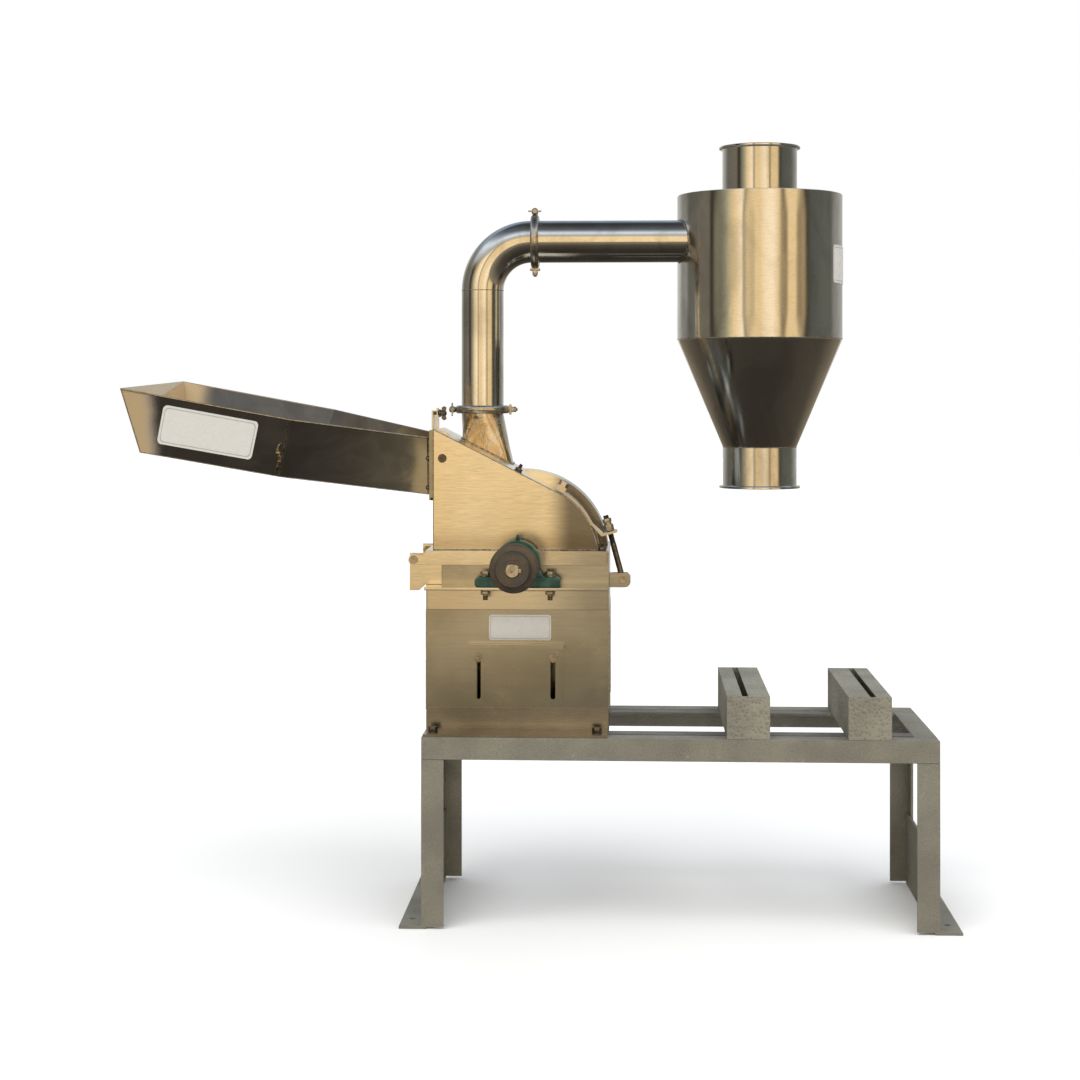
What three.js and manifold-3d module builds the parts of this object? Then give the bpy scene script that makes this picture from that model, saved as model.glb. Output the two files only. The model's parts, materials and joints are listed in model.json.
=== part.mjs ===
// Hammer mill with blower and cyclone, on a slotted motor bench.
// Millimetres, +Z up, +X from the mill towards the motor rails, -Y is the operator's side.
import * as THREE from "three";
import { mergeVertices } from "three/addons/utils/BufferGeometryUtils.js";
import Module from "manifold-3d";

const wasm = await Module();
wasm.setup();

// ---------- driving dimensions ----------
const GAP = 0.3; // between pieces that touch
const BENCH = { left: -249, right: 785, front: -200, rear: 230, top: 385, leg: 45, thick: 5 };
const SLOT = { width: 10, bar: 40, barThick: 6 };
const FOOT = { reach: 45, plateTop: 155, hole: 7, holeInset: 60 };
const RAIL = { width: 86, front: -200, rear: 228, height: 86, wall: 4, slot: 12 };
const RAIL_CENTRES = [406, 647];
const RAIL_SLOT_SHIFTS = [-6, 7];
const CASING = { left: -248, right: 127, front: -112, rear: 140, bottom: 385.6, top: 748.6, wall: 3 };
const AXIS = { x: -57, z: 732 }; // rotor shaft, along Y
const SHAFT = { radius: 17.5, endRadius: 14, front: -345, step: -255, rear: 212, hole: 19.5 };
const LEDGE = { top: 684, thick: 6, drop: 51, reach: 70 };
const FOOTING = { reach: 86, rise: 41, thick: 5, boltX: [-230, 103] };
const PILLOW = { half: 86, depth: 48, base: 20, boltX: 65.5, radius: 46, offset: 44, insert: 36 };
const COVER = { left: -233.6, top: 1001.5, slope: 0.507, wall: 3, split: 45, rear: 138 };
const CHAMBER_RADIUS = 162;
const BLOWER_RADIUS = 181;
const FLANGE = { bottom: 749, thick: 5, out: 17, strapThick: 4 };
const HINGE = { x: -271.5, z: 735.5, pin: 5, eye: 11.5 };
const LATCH = { x: 155, y: -60, z: 690, lean: 15, rod: 6, seat: 103.6, slack: 1.2 };
const THROAT = { front: -95, rear: 25, bottom: 868, top: 986 };
const PIPE = { radius: 45, wall: 2, y: 91, riserX: -147, crossZ: 1401, bend: 105 };
const FERRULE = { radius: 52, thick: 4.5 };
const JOINT_Z = 1041; // between neck and riser ferrules
const JOINT_X = -34; // between elbow and cross pipe ferrules
const CYCLONE = {
  x: 448.6, y: 130, radius: 177, wall: 2.5,
  coneBottom: 960, bodyBottom: 1192, bodyTop: 1499,
};
const CYCLONE_NECK = { radius: 80, rim: 87, top: 1606, bottom: 1340, thick: 5 };
const CYCLONE_SPIGOT = { radius: 79.2, rim: 87, bottom: 872, thick: 5 };
const ROTOR = { disc: 95, hub: 32, front: -95, rear: 37, discThick: 6, pinCircle: 80, pin: 6, tip: 62 };
const HAMMER = { width: 30, thick: 6, pitch: 30, count: 4, sleeve: 9.5 };
const IMPELLER = { hub: 30, radius: 150, plate: 140, front: 62, rear: 126, blades: 6, thick: 5 };
const SIEVE = { radius: 150, thick: 2.5, front: -104, rear: 36, top: 707, flange: 22 };
const GATE = {
  left: -157, right: 33, bottom: 436, top: 560,
  stand: 1, thick: 3, slotX: [-140, 12.6], boltZ: 535,
};
const GATE_SLOT = { low: 455, width: 10, stripWidth: 26, stripThick: 3 };
const WINDOW = { insetLeft: 14, insetRight: 10, bottom: 450, top: 548 }; // in the casing, behind the gate
const PARTITION_HOLE = 60; // air passes from the chamber to the blower round the shaft
const OUTLET = { left: -180, right: -90, front: 56, rear: 126 }; // in the blower cover's roof
const NECK_FOOT = { x: -135, halfLength: 54, halfWidth: 43 };
const FEED_GATE = { front: -104, rear: 34, bottom: 863, top: 1040, thick: 2.5, gap: 1.2, lip: 10 };
const GATE_SCREW = { y: -50, z: 1034, radius: 4 };
const TRAY_FLANGE = { front: -112, rear: 42, bottom: 856, top: 1000, side: 10, sill: 15, thick: 3 };
const M10 = { shank: 4.7, hole: 5.4, hex: 17, washer: 10 };
const M12 = { shank: 5.5, hole: 6.4, hex: 18, washer: 11.5 };
const SHEET = 2.5; // wall of the feed hopper

// Corner points of one trough section: front rim, front floor, rear floor, rear rim.
const TRAY = {
  end: [[-843, -260, 1084], [-813, -223, 957], [-813, 223, 972], [-836, 260, 1101]],
  bend: [[-501, -260, 1022], [-528, -223, 908], [-528, 223, 921], [-493, 260, 1038]],
  throat: [[-241.5, -105, 983], [-241.5, -105, 868], [-241.5, 35, 868], [-241.5, 35, 990]],
};

// ---------- materials ----------
const finish = (color, metalness, roughness) =>
  new THREE.MeshStandardMaterial({ color, metalness, roughness });
const brushed = finish(0xcdb68c, 0.95, 0.32);
const polished = finish(0xb9b4a8, 1.0, 0.14);
const paint = finish(0x8b8778, 0.35, 0.6);
const castGreen = finish(0x24352b, 0.3, 0.55);
const castIron = finish(0x4c4640, 0.6, 0.5);
const hardened = finish(0x6f6a62, 0.85, 0.45);
const zinc = finish(0xa8a39a, 0.9, 0.35);

// ---------- solids ----------
function toSolid(geometry) {
  const bare = geometry.clone();
  bare.deleteAttribute("normal");
  bare.deleteAttribute("uv");
  const merged = mergeVertices(bare, 1e-4);
  const p = merged.attributes.position.array;
  const triangles = [];
  let volume = 0;
  const corner = (i) => new THREE.Vector3(p[3 * i], p[3 * i + 1], p[3 * i + 2]);
  for (let i = 0; i < merged.index.count; i += 3) {
    const [a, b, c] = [0, 1, 2].map((k) => merged.index.getX(i + k));
    if (a === b || b === c || c === a) continue;
    triangles.push([a, b, c]);
    volume += corner(a).dot(corner(b).cross(corner(c)));
  }
  const ordered = volume < 0 ? triangles.map(([a, b, c]) => [a, c, b]) : triangles;
  const vertProperties = new Float32Array(p);
  const triVerts = new Uint32Array(ordered.flat());
  return new wasm.Manifold(new wasm.Mesh({ numProp: 3, vertProperties, triVerts }));
}

function toGeometry(solid) {
  const mesh = solid.getMesh();
  const geometry = new THREE.BufferGeometry();
  geometry.setAttribute("position", new THREE.BufferAttribute(new Float32Array(mesh.vertProperties), 3));
  geometry.setIndex(new THREE.BufferAttribute(new Uint32Array(mesh.triVerts), 1));
  geometry.computeVertexNormals();
  return geometry;
}

function piece(name, solid, material) {
  const mesh = new THREE.Mesh(toGeometry(solid), material);
  mesh.name = name;
  return mesh;
}

const join = (...solids) => solids.reduce((all, next) => all.add(next));
const cut = (solid, ...tools) => tools.reduce((rest, tool) => rest.subtract(tool), solid);

function box(x0, x1, y0, y1, z0, z1) {
  const geometry = new THREE.BoxGeometry(x1 - x0, y1 - y0, z1 - z0);
  return toSolid(geometry.translate((x0 + x1) / 2, (y0 + y1) / 2, (z0 + z1) / 2));
}

// Puts an XY outline that was extruded along Z so that it runs along the named axis.
const ALONG = {
  x: new THREE.Matrix4().makeBasis(
    new THREE.Vector3(0, 1, 0), new THREE.Vector3(0, 0, 1), new THREE.Vector3(1, 0, 0)),
  y: new THREE.Matrix4().makeBasis(
    new THREE.Vector3(1, 0, 0), new THREE.Vector3(0, 0, 1), new THREE.Vector3(0, -1, 0)),
  z: new THREE.Matrix4(),
};

// outline is a THREE.Shape or a list of [a, b] corners: (Y,Z) along x, (X,Z) along y, (X,Y) along z.
function prism(outline, axis, from, to, curveSegments = 5) {
  const shape = Array.isArray(outline)
    ? new THREE.Shape(outline.map(([a, b]) => new THREE.Vector2(a, b)))
    : outline;
  const depth = to - from;
  const geometry = new THREE.ExtrudeGeometry(shape, { depth, bevelEnabled: false, curveSegments });
  geometry.translate(0, 0, axis === "y" ? -to : from);
  return toSolid(geometry.applyMatrix4(ALONG[axis]));
}

function circle(radius, x = 0, z = 0) {
  const shape = new THREE.Shape();
  shape.absarc(x, z, radius, 0, 2 * Math.PI, false);
  return shape;
}

function rod(radius, axis, from, to, a = 0, b = 0, sides = 10) {
  return prism(circle(radius, a, b), axis, from, to, sides / 2);
}

// Profile points are [radius, height]; the solid turns about Z, or about Y when asked.
function lathe(profile, segments = 24, axis = "z") {
  const geometry = new THREE.LatheGeometry(profile.map(([r, h]) => new THREE.Vector2(r, h)), segments);
  if (axis === "z") geometry.rotateX(Math.PI / 2);
  return toSolid(geometry);
}

function ring(inner, outer, from, to, segments = 24, axis = "z") {
  return lathe([[inner, from], [outer, from], [outer, to], [inner, to], [inner, from]], segments, axis);
}

function hexagon(acrossFlats, x = 0, y = 0) {
  const corners = [];
  for (let i = 0; i < 6; i++) {
    const angle = (i * Math.PI) / 3;
    const radius = acrossFlats / Math.sqrt(3);
    corners.push([x + radius * Math.cos(angle), y + radius * Math.sin(angle)]);
  }
  return corners;
}

const rectangle = (x0, x1, y0, y1) =>
  [[x0, y0], [x1, y0], [x1, y1], [x0, y1]].map(([x, y]) => new THREE.Vector2(x, y));

// Joins matching loops of [x, y, z] points into one closed solid with flat ends.
function loft(loops) {
  const count = loops[0].length;
  const position = loops.flat(2);
  const index = [];
  for (let i = 0; i < loops.length - 1; i++) {
    for (let j = 0; j < count; j++) {
      const a = i * count + j;
      const b = i * count + ((j + 1) % count);
      index.push(a, b, b + count, a, b + count, a + count);
    }
  }
  const caps = [0, (loops.length - 1) * count];
  caps.forEach((start, end) => {
    const loop = position.slice(3 * start, 3 * (start + count));
    for (const face of flatCap(loop)) {
      const [a, b, c] = face.map((k) => start + k);
      if (end === 0) index.push(a, c, b);
      else index.push(a, b, c);
    }
  });
  const geometry = new THREE.BufferGeometry();
  geometry.setAttribute("position", new THREE.Float32BufferAttribute(position, 3));
  geometry.setIndex(index);
  return toSolid(geometry);
}

// Triangles of a flat loop, wound the way the loop runs.
function flatCap(loop) {
  const points = [];
  for (let i = 0; i < loop.length; i += 3) points.push(new THREE.Vector3(loop[i], loop[i + 1], loop[i + 2]));
  const normal = new THREE.Vector3();
  points.forEach((p, i) => normal.add(p.clone().cross(points[(i + 1) % points.length])));
  const plane = new THREE.Matrix4().lookAt(normal, new THREE.Vector3(), new THREE.Vector3(0.1, 0.2, 1));
  const flat = points.map((p) => p.clone().applyMatrix4(plane.clone().invert()));
  return THREE.ShapeUtils.triangulateShape(flat.map((p) => new THREE.Vector2(p.x, p.y)), []);
}

// An angle bar's outline, its corner at (a, b), with legs running by wide and high.
function angleOutline(a, b, wide, high, thick) {
  const side = Math.sign(wide) * thick;
  const up = Math.sign(high) * thick;
  return [
    [a, b], [a + wide, b], [a + wide, b + up], [a + side, b + up], [a + side, b + high], [a, b + high]];
}

const wound = (outline) => (THREE.ShapeUtils.area(outline.map(([x, y]) => ({ x, y }))) < 0
  ? [...outline].reverse()
  : outline);
const angleBar = (axis, from, to, ...outline) => prism(wound(angleOutline(...outline)), axis, from, to);

// ---------- bench ----------
function benchBeams() {
  const { left, right, front, rear, top, leg, thick } = BENCH;
  const frontBeam = angleBar("x", left, right, front, top, leg, -leg, thick);
  const rearBeam = angleBar("x", left, right, rear, top, -leg, -leg, thick);
  return [piece("front_beam", frontBeam, paint), piece("rear_beam", rearBeam, paint)];
}

function slotBars() {
  const { left, right, front, rear, top, leg } = BENCH;
  const [x0, x1] = [left + leg + GAP, right - leg - GAP];
  const inset = leg + SLOT.width;
  const z0 = top - SLOT.barThick;
  const frontBar = box(x0, x1, front + inset, front + inset + SLOT.bar, z0, top);
  const rearBar = box(x0, x1, rear - inset - SLOT.bar, rear - inset, z0, top);
  return [piece("front_slot_bar", frontBar, paint), piece("rear_slot_bar", rearBar, paint)];
}

// Two legs, the top cross angle and the floor angle of one end, welded together.
function endFrame(name, side) {
  const { left, right, front, rear, top, leg, thick } = BENCH;
  const outer = side < 0 ? left : right;
  const inward = -side;
  const legTop = top - leg - GAP;
  const legs = [front, rear].map((y) => {
    const outline = wound(angleOutline(outer, y, inward * leg, y === front ? leg : -leg, thick));
    return prism(outline, "z", thick - 0.5, legTop);
  });
  const crossOutline = wound(angleOutline(outer, top, inward * leg, -leg, thick));
  const cross = prism(crossOutline, "y", front + leg + GAP, rear - leg - GAP);
  const stub = [front, rear].map((y) => {
    const toMiddle = y === front ? 1 : -1;
    const [y0, y1] = [y + toMiddle * (thick + GAP), y + toMiddle * (leg + 2)].sort((a, b) => a - b);
    const [x0, x1] = [outer, outer + inward * thick].sort((a, b) => a - b);
    return box(x0, x1, y0, y1, legTop - 1, top - thick - GAP);
  });
  const plateX = [outer + inward * (thick - 0.2), outer + inward * (2 * thick)].sort((a, b) => a - b);
  const plate = box(...plateX, front + thick - 0.5, rear - thick + 0.5, 0, FOOT.plateTop);
  const footX = [outer + inward * 2 * thick, outer + side * FOOT.reach].sort((a, b) => a - b);
  const foot = box(...footX, front, rear, 0, thick);
  const holeX = outer + side * FOOT.reach * 0.5;
  const holes = [front + FOOT.holeInset, rear - FOOT.holeInset].map((y) =>
    rod(FOOT.hole, "z", -1, thick + 1, holeX, y));
  const boltHoles = FOOTING.boltX.flatMap((x) =>
    slotCentres().map((y) => rod(M10.hole, "z", top - 10, top + 1, x, y)));
  return piece(name, cut(join(...legs, ...stub, cross, plate, foot), ...holes, ...boltHoles), paint);
}

// ---------- motor rails ----------
function motorRail(name, centre, slotShift) {
  const z0 = BENCH.top + GAP;
  const z1 = z0 + RAIL.height;
  const half = RAIL.width / 2;
  const outer = box(-half, half, RAIL.front, RAIL.rear, z0, z1);
  const { front, rear, wall } = RAIL;
  const inside = box(wall - half, half - wall, front + wall, rear - wall, z0 + wall, z1 - wall);
  const [x0, x1] = [slotShift - RAIL.slot / 2, slotShift + RAIL.slot / 2];
  const slot = box(x0, x1, front + wall, rear - wall, z1 - 10, z1 + 1);
  const holes = slotCentres().map((y) => rod(M10.hole, "z", z0 - 1, z0 + 10, 0, y));
  const rail = piece(name, cut(outer, inside, slot, ...holes), paint);
  rail.position.x = centre;
  return rail;
}

const slotCentres = () => {
  const inset = BENCH.leg + SLOT.width / 2;
  return [BENCH.front + inset, BENCH.rear - inset];
};

// Two bolts through the rail and the bench slots, with the clamp bar that they draw up from below.
function railClamp(name, centre) {
  const [y0, y1] = slotCentres();
  const underBench = BENCH.top - SLOT.barThick - GAP;
  const seat = BENCH.top + RAIL.wall + 2 * GAP;
  const bar = box(-15, 15, y0 - 18, y1 + 18, underBench - 8, underBench);
  const bolts = [y0, y1].map((y) => join(
    prism(hexagon(M10.hex, 0, y), "z", seat, seat + 7),
    rod(M10.shank, "z", underBench - 26, seat + 1, 0, y),
    prism(hexagon(M10.hex, 0, y), "z", underBench - 16, underBench - 7.5)));
  const clamp = piece(name, join(bar, ...bolts), zinc);
  clamp.position.x = centre;
  return clamp;
}

// ---------- lower casing ----------
const shaftHole = (y0, y1) => join(
  rod(SHAFT.hole, "y", y0, y1, AXIS.x, AXIS.z),
  box(AXIS.x - SHAFT.hole + 0.6, AXIS.x + SHAFT.hole - 0.6, y0, y1, AXIS.z, CASING.top + 20));

function lowerCasing() {
  const { left, right, front, rear, bottom, top, wall } = CASING;
  const outer = box(left, right, front, rear, bottom, top);
  const inside = box(left + wall, right - wall, front + wall, rear - wall, bottom + wall, top + 1);
  const partition = cut(
    box(left + 1, right - 1, COVER.split - 4, COVER.split - 1, bottom + 1, top),
    rod(PARTITION_HOLE, "y", COVER.split - 6, COVER.split + 1, AXIS.x, AXIS.z),
    box(
      AXIS.x - PARTITION_HOLE, AXIS.x + PARTITION_HOLE, COVER.split - 6, COVER.split + 1, AXIS.z, top + 1));
  const sieveRests = [left + 1, right - 28].map((x) =>
    box(x, x + 27, front + 1, COVER.split - 3, SIEVE.top - 6, SIEVE.top - GAP));
  const scroll = cut(
    ring(172, 174.5, COVER.split - 3, rear - 1, 30, "y").translate([AXIS.x, 0, AXIS.z]),
    box(-400, 300, -300, 300, AXIS.z - 4, 1200));
  const window = box(
    GATE.left + WINDOW.insetLeft, GATE.right - WINDOW.insetRight, front - 5, front + wall + 2,
    WINDOW.bottom, WINDOW.top);
  const studHoles = GATE.slotX.map((x) => rod(4.6, "y", front - 5, front + wall + 2, x, GATE.boltZ));
  const shell = join(cut(outer, inside), partition, ...sieveRests, scroll);
  return piece("lower_casing", cut(shell, window, ...studHoles,
    shaftHole(front - 5, front + wall + 1), shaftHole(rear - wall - 1, rear + 5)), brushed);
}

// A folded angle along the casing's foot, drilled for two bolts.
function casingFoot(name, side) {
  const wallY = side < 0 ? CASING.front - GAP : CASING.rear + GAP;
  const z0 = BENCH.top + GAP;
  const { reach, rise, thick, boltX } = FOOTING;
  const bar = angleBar("x", CASING.left + 2, CASING.right - 2, wallY, z0, side * reach, rise + thick, thick);
  const holes = boltX.map((x) => rod(M10.hole, "z", z0 - 1, z0 + 10, x, footBoltY(side)));
  return piece(name, cut(bar, ...holes), brushed);
}

const footBoltY = (side) => (side < 0 ? slotCentres()[0] : slotCentres()[1]);

// Two foot bolts on a backing strip under the bench.
function footBolts(name, side) {
  const y = footBoltY(side);
  const under = BENCH.top - SLOT.barThick - GAP;
  const seat = BENCH.top + FOOTING.thick + 2 * GAP;
  const strip = box(FOOTING.boltX[0] - 12, FOOTING.boltX[1] + 12, y - 12, y + 12, under - 5, under);
  const bolts = FOOTING.boltX.map((x) => join(
    rod(M10.washer, "z", seat, seat + 2, x, y),
    prism(hexagon(M10.hex, x, y), "z", seat + 1.5, seat + 8),
    rod(M10.shank, "z", under - 18, seat + 1, x, y),
    prism(hexagon(M10.hex, x, y), "z", under - 13, under - 4.5)));
  return piece(name, join(strip, ...bolts), zinc);
}

function bearingLedge(name, side) {
  const wallY = side < 0 ? CASING.front - GAP : CASING.rear + GAP;
  const bar = angleBar(
    "x", CASING.left + 3, CASING.right - 3, wallY, LEDGE.top, side * LEDGE.reach, -LEDGE.drop, LEDGE.thick);
  const holes = [-1, 1].map((k) =>
    rod(M12.hole, "z", LEDGE.top - 20, LEDGE.top + 1,
      AXIS.x + k * PILLOW.boltX, wallY + side * PILLOW.offset));
  return piece(name, cut(bar, ...holes), brushed);
}

// ---------- hinge and latch on the casing ----------
function hingeLug(name, side) {
  const wallY = side < 0 ? CASING.front - GAP : CASING.rear + GAP;
  const far = wallY + side * 6;
  const x = CASING.left;
  const outline = [
    [x - 33, 672], [x - 14, 672], [x, LEDGE.top + GAP], [x + 33, LEDGE.top + GAP],
    [x + 33, 724], [x, CASING.top - GAP], [x - 33, CASING.top - GAP]];
  const plate = prism(outline, "y", Math.min(wallY, far), Math.max(wallY, far));
  return piece(name, cut(plate, rod(HINGE.pin + GAP, "y", -200, 200, HINGE.x, HINGE.z)), brushed);
}

function hingePin(name, side) {
  const strapY = side < 0 ? CASING.front - FLANGE.out : CASING.rear + FLANGE.out;
  const lugY = side < 0 ? CASING.front : CASING.rear;
  const span = (a, b) => [Math.min(a, b), Math.max(a, b)];
  const head = rod(8.5, "y", ...span(strapY + side * GAP, strapY + side * 6), HINGE.x, HINGE.z);
  const shank = rod(HINGE.pin, "y", ...span(strapY + side, lugY - side * 12), HINGE.x, HINGE.z);
  const nut = prism(hexagon(15, HINGE.x, HINGE.z), "y", ...span(lugY - side * 1, lugY - side * 9));
  return piece(name, join(head, shank, nut), zinc);
}

function clevis() {
  const x0 = CASING.right + GAP;
  const { x, y, z } = LATCH;
  const back = box(x0, x0 + 5, y - 10.5, y + 10.5, z - 15, z + 15);
  const cheekOutline = new THREE.Shape();
  cheekOutline.moveTo(x0, z - 15);
  cheekOutline.lineTo(x + 4, z - 15);
  cheekOutline.absarc(x + 4, z - 3, 12, -Math.PI / 2, 0, false);
  cheekOutline.lineTo(x + 16, z + 8);
  cheekOutline.lineTo(x + 10, z + 15);
  cheekOutline.lineTo(x0, z + 15);
  const cheeks = [y - 10.5, y + 6.5].map((y0) => prism(cheekOutline, "y", y0, y0 + 4));
  const hole = rod(5.3, "y", y - 20, y + 20, x, z);
  return piece("clevis_bracket", cut(join(back, ...cheeks), hole), brushed);
}

function clevisPin() {
  const { x, y, z } = LATCH;
  const heads = [y - 14, y + 10.8].map((y0) => rod(7.5, "y", y0, y0 + 3.2, x, z));
  const solid = join(rod(5, "y", y - 13, y + 13, x, z), ...heads);
  return piece("clevis_pin", solid, zinc);
}

// ---------- sieve ----------
function sieve() {
  const { radius, thick, front, rear, top, flange } = SIEVE;
  const halfRing = cut(
    ring(radius, radius + thick, front, rear, 30, "y").translate([AXIS.x, 0, AXIS.z]),
    box(-400, 300, -300, 300, top + thick, 1200));
  const reach = Math.sqrt(radius ** 2 - (AXIS.z - top) ** 2);
  const flanges = [-1, 1].map((side) => {
    const xs = [reach + 0.5, reach + flange + thick].map((x) => AXIS.x + side * x).sort((a, b) => a - b);
    return box(...xs, front, rear, top, top + thick);
  });
  return piece("sieve", join(halfRing, ...flanges), hardened);
}

// ---------- discharge gate ----------
function dischargeGate() {
  const { left, right, bottom, top, stand, thick, slotX } = GATE;
  const y1 = CASING.front - stand;
  const y0 = y1 - thick;
  const plate = box(left, right, y0, y1, bottom, top);
  const { low, width, stripWidth, stripThick } = GATE_SLOT;
  const [half, wide] = [width / 2, stripWidth / 2];
  const lip = join(
    box(left - 3, right + 3, y1 - 19, y1, top - 1, top + 3),
    box(left - 3, right + 3, y1 - 22, y1 - 18.5, top - 6, top + 3));
  const strips = slotX.map((x) => box(x - wide, x + wide, y0 - stripThick, y0 + 0.5, bottom + 2, top - 4));
  const slots = slotX.map((x) => join(
    box(x - half, x + half, y0 - 5, y1 + 5, low, GATE.boltZ),
    rod(half, "y", y0 - 5, y1 + 5, x, low), rod(half, "y", y0 - 5, y1 + 5, x, GATE.boltZ)));
  return piece("discharge_gate", cut(join(plate, lip, ...strips), ...slots), brushed);
}

// The gate's two studs on their backing strip inside the casing.
function gateBolts() {
  const inner = CASING.front + CASING.wall + GAP;
  const face = CASING.front - GATE.stand - GATE.thick - GATE_SLOT.stripThick - GAP;
  const { slotX, boltZ } = GATE;
  const strip = box(slotX[0] - 9, slotX[1] + 9, inner, inner + 3, boltZ + 14, boltZ + 30);
  const tabs = slotX.map((x) => box(x - 9, x + 9, inner, inner + 3, boltZ - 9, boltZ + 20));
  const bolts = slotX.map((x) => join(
    rod(4, "y", face - 6, inner + 4, x, boltZ), rod(9.5, "y", face - 1.6, face, x, boltZ),
    prism(hexagon(13, x, boltZ), "y", face - 7, face - 1)));
  return piece("gate_bolts", join(strip, ...tabs, ...bolts), zinc);
}

// ---------- bearings ----------
const pillowY = (side) => (side < 0 ? CASING.front - GAP : CASING.rear + GAP) + side * PILLOW.offset;

function pillowBlock(name, side) {
  const { half, depth, base, radius, boltX, insert } = PILLOW;
  const foot = LEDGE.top + GAP - AXIS.z;
  const flat = new THREE.Shape();
  flat.moveTo(-half + 6, foot);
  flat.lineTo(half - 6, foot);
  flat.absarc(half - 6, foot + 6, 6, -Math.PI / 2, 0, false);
  flat.lineTo(half, foot + base - 5);
  flat.lineTo(half - 6, foot + base);
  flat.lineTo(-half + 6, foot + base);
  flat.lineTo(-half, foot + base - 5);
  flat.absarc(-half + 6, foot + 6, 6, Math.PI, 1.5 * Math.PI, false);
  const shoulders = [[-58, foot + 4], [58, foot + 4], [44, foot + base + 8], [-44, foot + base + 8]];
  const housing = join(
    prism(flat, "y", -depth / 2, depth / 2), prism(shoulders, "y", -depth / 2 + 4, depth / 2 - 4),
    rod(radius, "y", -depth / 2 + 5, depth / 2 - 5, 0, 0, 20));
  const holes = [-1, 1].map((k) => rod(M12.hole, "z", foot - 5, foot + base + 30, k * boltX, 0));
  const block = piece(name, cut(housing, rod(insert, "y", -depth, depth, 0, 0, 20), ...holes), castGreen);
  block.position.set(AXIS.x, pillowY(side), AXIS.z);
  return block;
}

function bearingInsert(name, side) {
  const solid = join(
    ring(SHAFT.radius + GAP, PILLOW.insert - GAP, -12, 12, 20, "y"),
    ring(SHAFT.radius + GAP, 24, -21, 21, 20, "y"));
  const insert = piece(name, solid, hardened);
  insert.position.set(AXIS.x, pillowY(side), AXIS.z);
  return insert;
}

// A pillow block's two bolts on the washer strip under its ledge.
function pillowBolts(name, side) {
  const top = LEDGE.top + GAP + PILLOW.base + GAP - AXIS.z;
  const under = LEDGE.top - LEDGE.thick - GAP - AXIS.z;
  const strip = box(-PILLOW.boltX - 11, PILLOW.boltX + 11, -9, 9, under - 2, under);
  const bolts = [-1, 1].map((k) => {
    const x = k * PILLOW.boltX;
    return join(
      rod(M12.washer, "z", top, top + 2.5, x, 0), prism(hexagon(M12.hex, x, 0), "z", top + 2, top + 10),
      rod(M12.shank, "z", under - 21, top + 3, x, 0),
      prism(hexagon(M12.hex, x, 0), "z", under - 10, under - 1.5));
  });
  const bolt = piece(name, join(strip, ...bolts), zinc);
  bolt.position.set(AXIS.x, pillowY(side), AXIS.z);
  return bolt;
}

// ---------- rotor, centred on the shaft axis ----------
function shaft() {
  const { radius, endRadius, front, step, rear } = SHAFT;
  const turned = lathe([
    [0, front + 3], [2.5, front], [endRadius - 1.5, front], [endRadius, front + 1.5], [endRadius, step],
    [radius, step], [radius, rear - 2], [radius - 2, rear], [0, rear]], 20, "y");
  const key = box(endRadius - 3, endRadius + 3, front + 1, front + 62, -3.7, 3.7);
  return piece("shaft", join(turned, key), hardened);
}

function pulley() {
  const { endRadius, front } = SHAFT;
  const bore = endRadius + GAP;
  const [y0, y1] = [front + 2, front + 80];
  const rim = 47.5;
  const groove = (y) => [[rim, y], [rim - 11, y + 4.5], [rim - 11, y + 8.5], [rim, y + 13]];
  const body = lathe([
    [bore, y0], [32.5, y0], [34.5, y0 + 2], [34.5, y0 + 34], [rim, y0 + 38],
    ...groove(y0 + 42), ...groove(y0 + 59), [rim, y1], [34, y1], [bore, y1], [bore, y0]], 20, "y");
  const keyway = box(0, endRadius + 3.3, y0 - 1, front + 64, -4, 4);
  return piece("pulley", cut(body, keyway), castIron);
}

function rotorHub() {
  const { disc, hub, front, rear, discThick, pinCircle, pin } = ROTOR;
  const body = join(
    ring(SHAFT.radius + GAP, hub, front, rear, 20, "y"),
    ring(hub - 1, disc, front, front + discThick, 20, "y"),
    ring(hub - 1, disc, rear - discThick, rear, 20, "y"));
  const holes = pinAngles().map((a) =>
    rod(pin + GAP, "y", front - 5, rear + 5, pinCircle * Math.cos(a), pinCircle * Math.sin(a)));
  return piece("rotor_hub", cut(body, ...holes), hardened);
}

const pinAngles = () => [0, 1, 2, 3].map((i) => Math.PI / 4 + (i * Math.PI) / 2);

function hammerPin(index, angle) {
  const { front, rear, pinCircle, pin } = ROTOR;
  const solid = join(
    rod(pin, "y", front - 3.5, rear + 2.5), rod(9, "y", front - 3.5, front - GAP));
  const mesh = piece(`hammer_pin_${index}`, solid, zinc);
  mesh.position.set(pinCircle * Math.cos(angle), 0, pinCircle * Math.sin(angle));
  return mesh;
}

// One row: flat swing hammers on a common sleeve, hanging below their pin.
function hammerRow(index, angle) {
  const { width, thick, pitch, count, sleeve } = HAMMER;
  const { front, rear, discThick, pinCircle, pin, tip } = ROTOR;
  const [y0, y1] = [front + discThick + GAP, rear - discThick - GAP];
  const start = y0 + 6 + (index % 2) * (pitch / 2);
  const half = width / 2;
  const blade = [[-half, -tip], [half, -tip], [half, 9], [half - 6, 15], [6 - half, 15], [-half, 9]];
  const blades = [];
  for (let i = 0; i < count; i++) {
    const y = start + i * pitch;
    blades.push(prism(blade, "y", y, y + thick));
  }
  const body = cut(join(rod(sleeve, "y", y0, y1), ...blades), rod(pin + 2 * GAP, "y", y0 - 5, y1 + 5));
  const mesh = piece(`hammer_row_${index}`, body, hardened);
  mesh.position.set(pinCircle * Math.cos(angle), 0, pinCircle * Math.sin(angle));
  return mesh;
}

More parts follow.
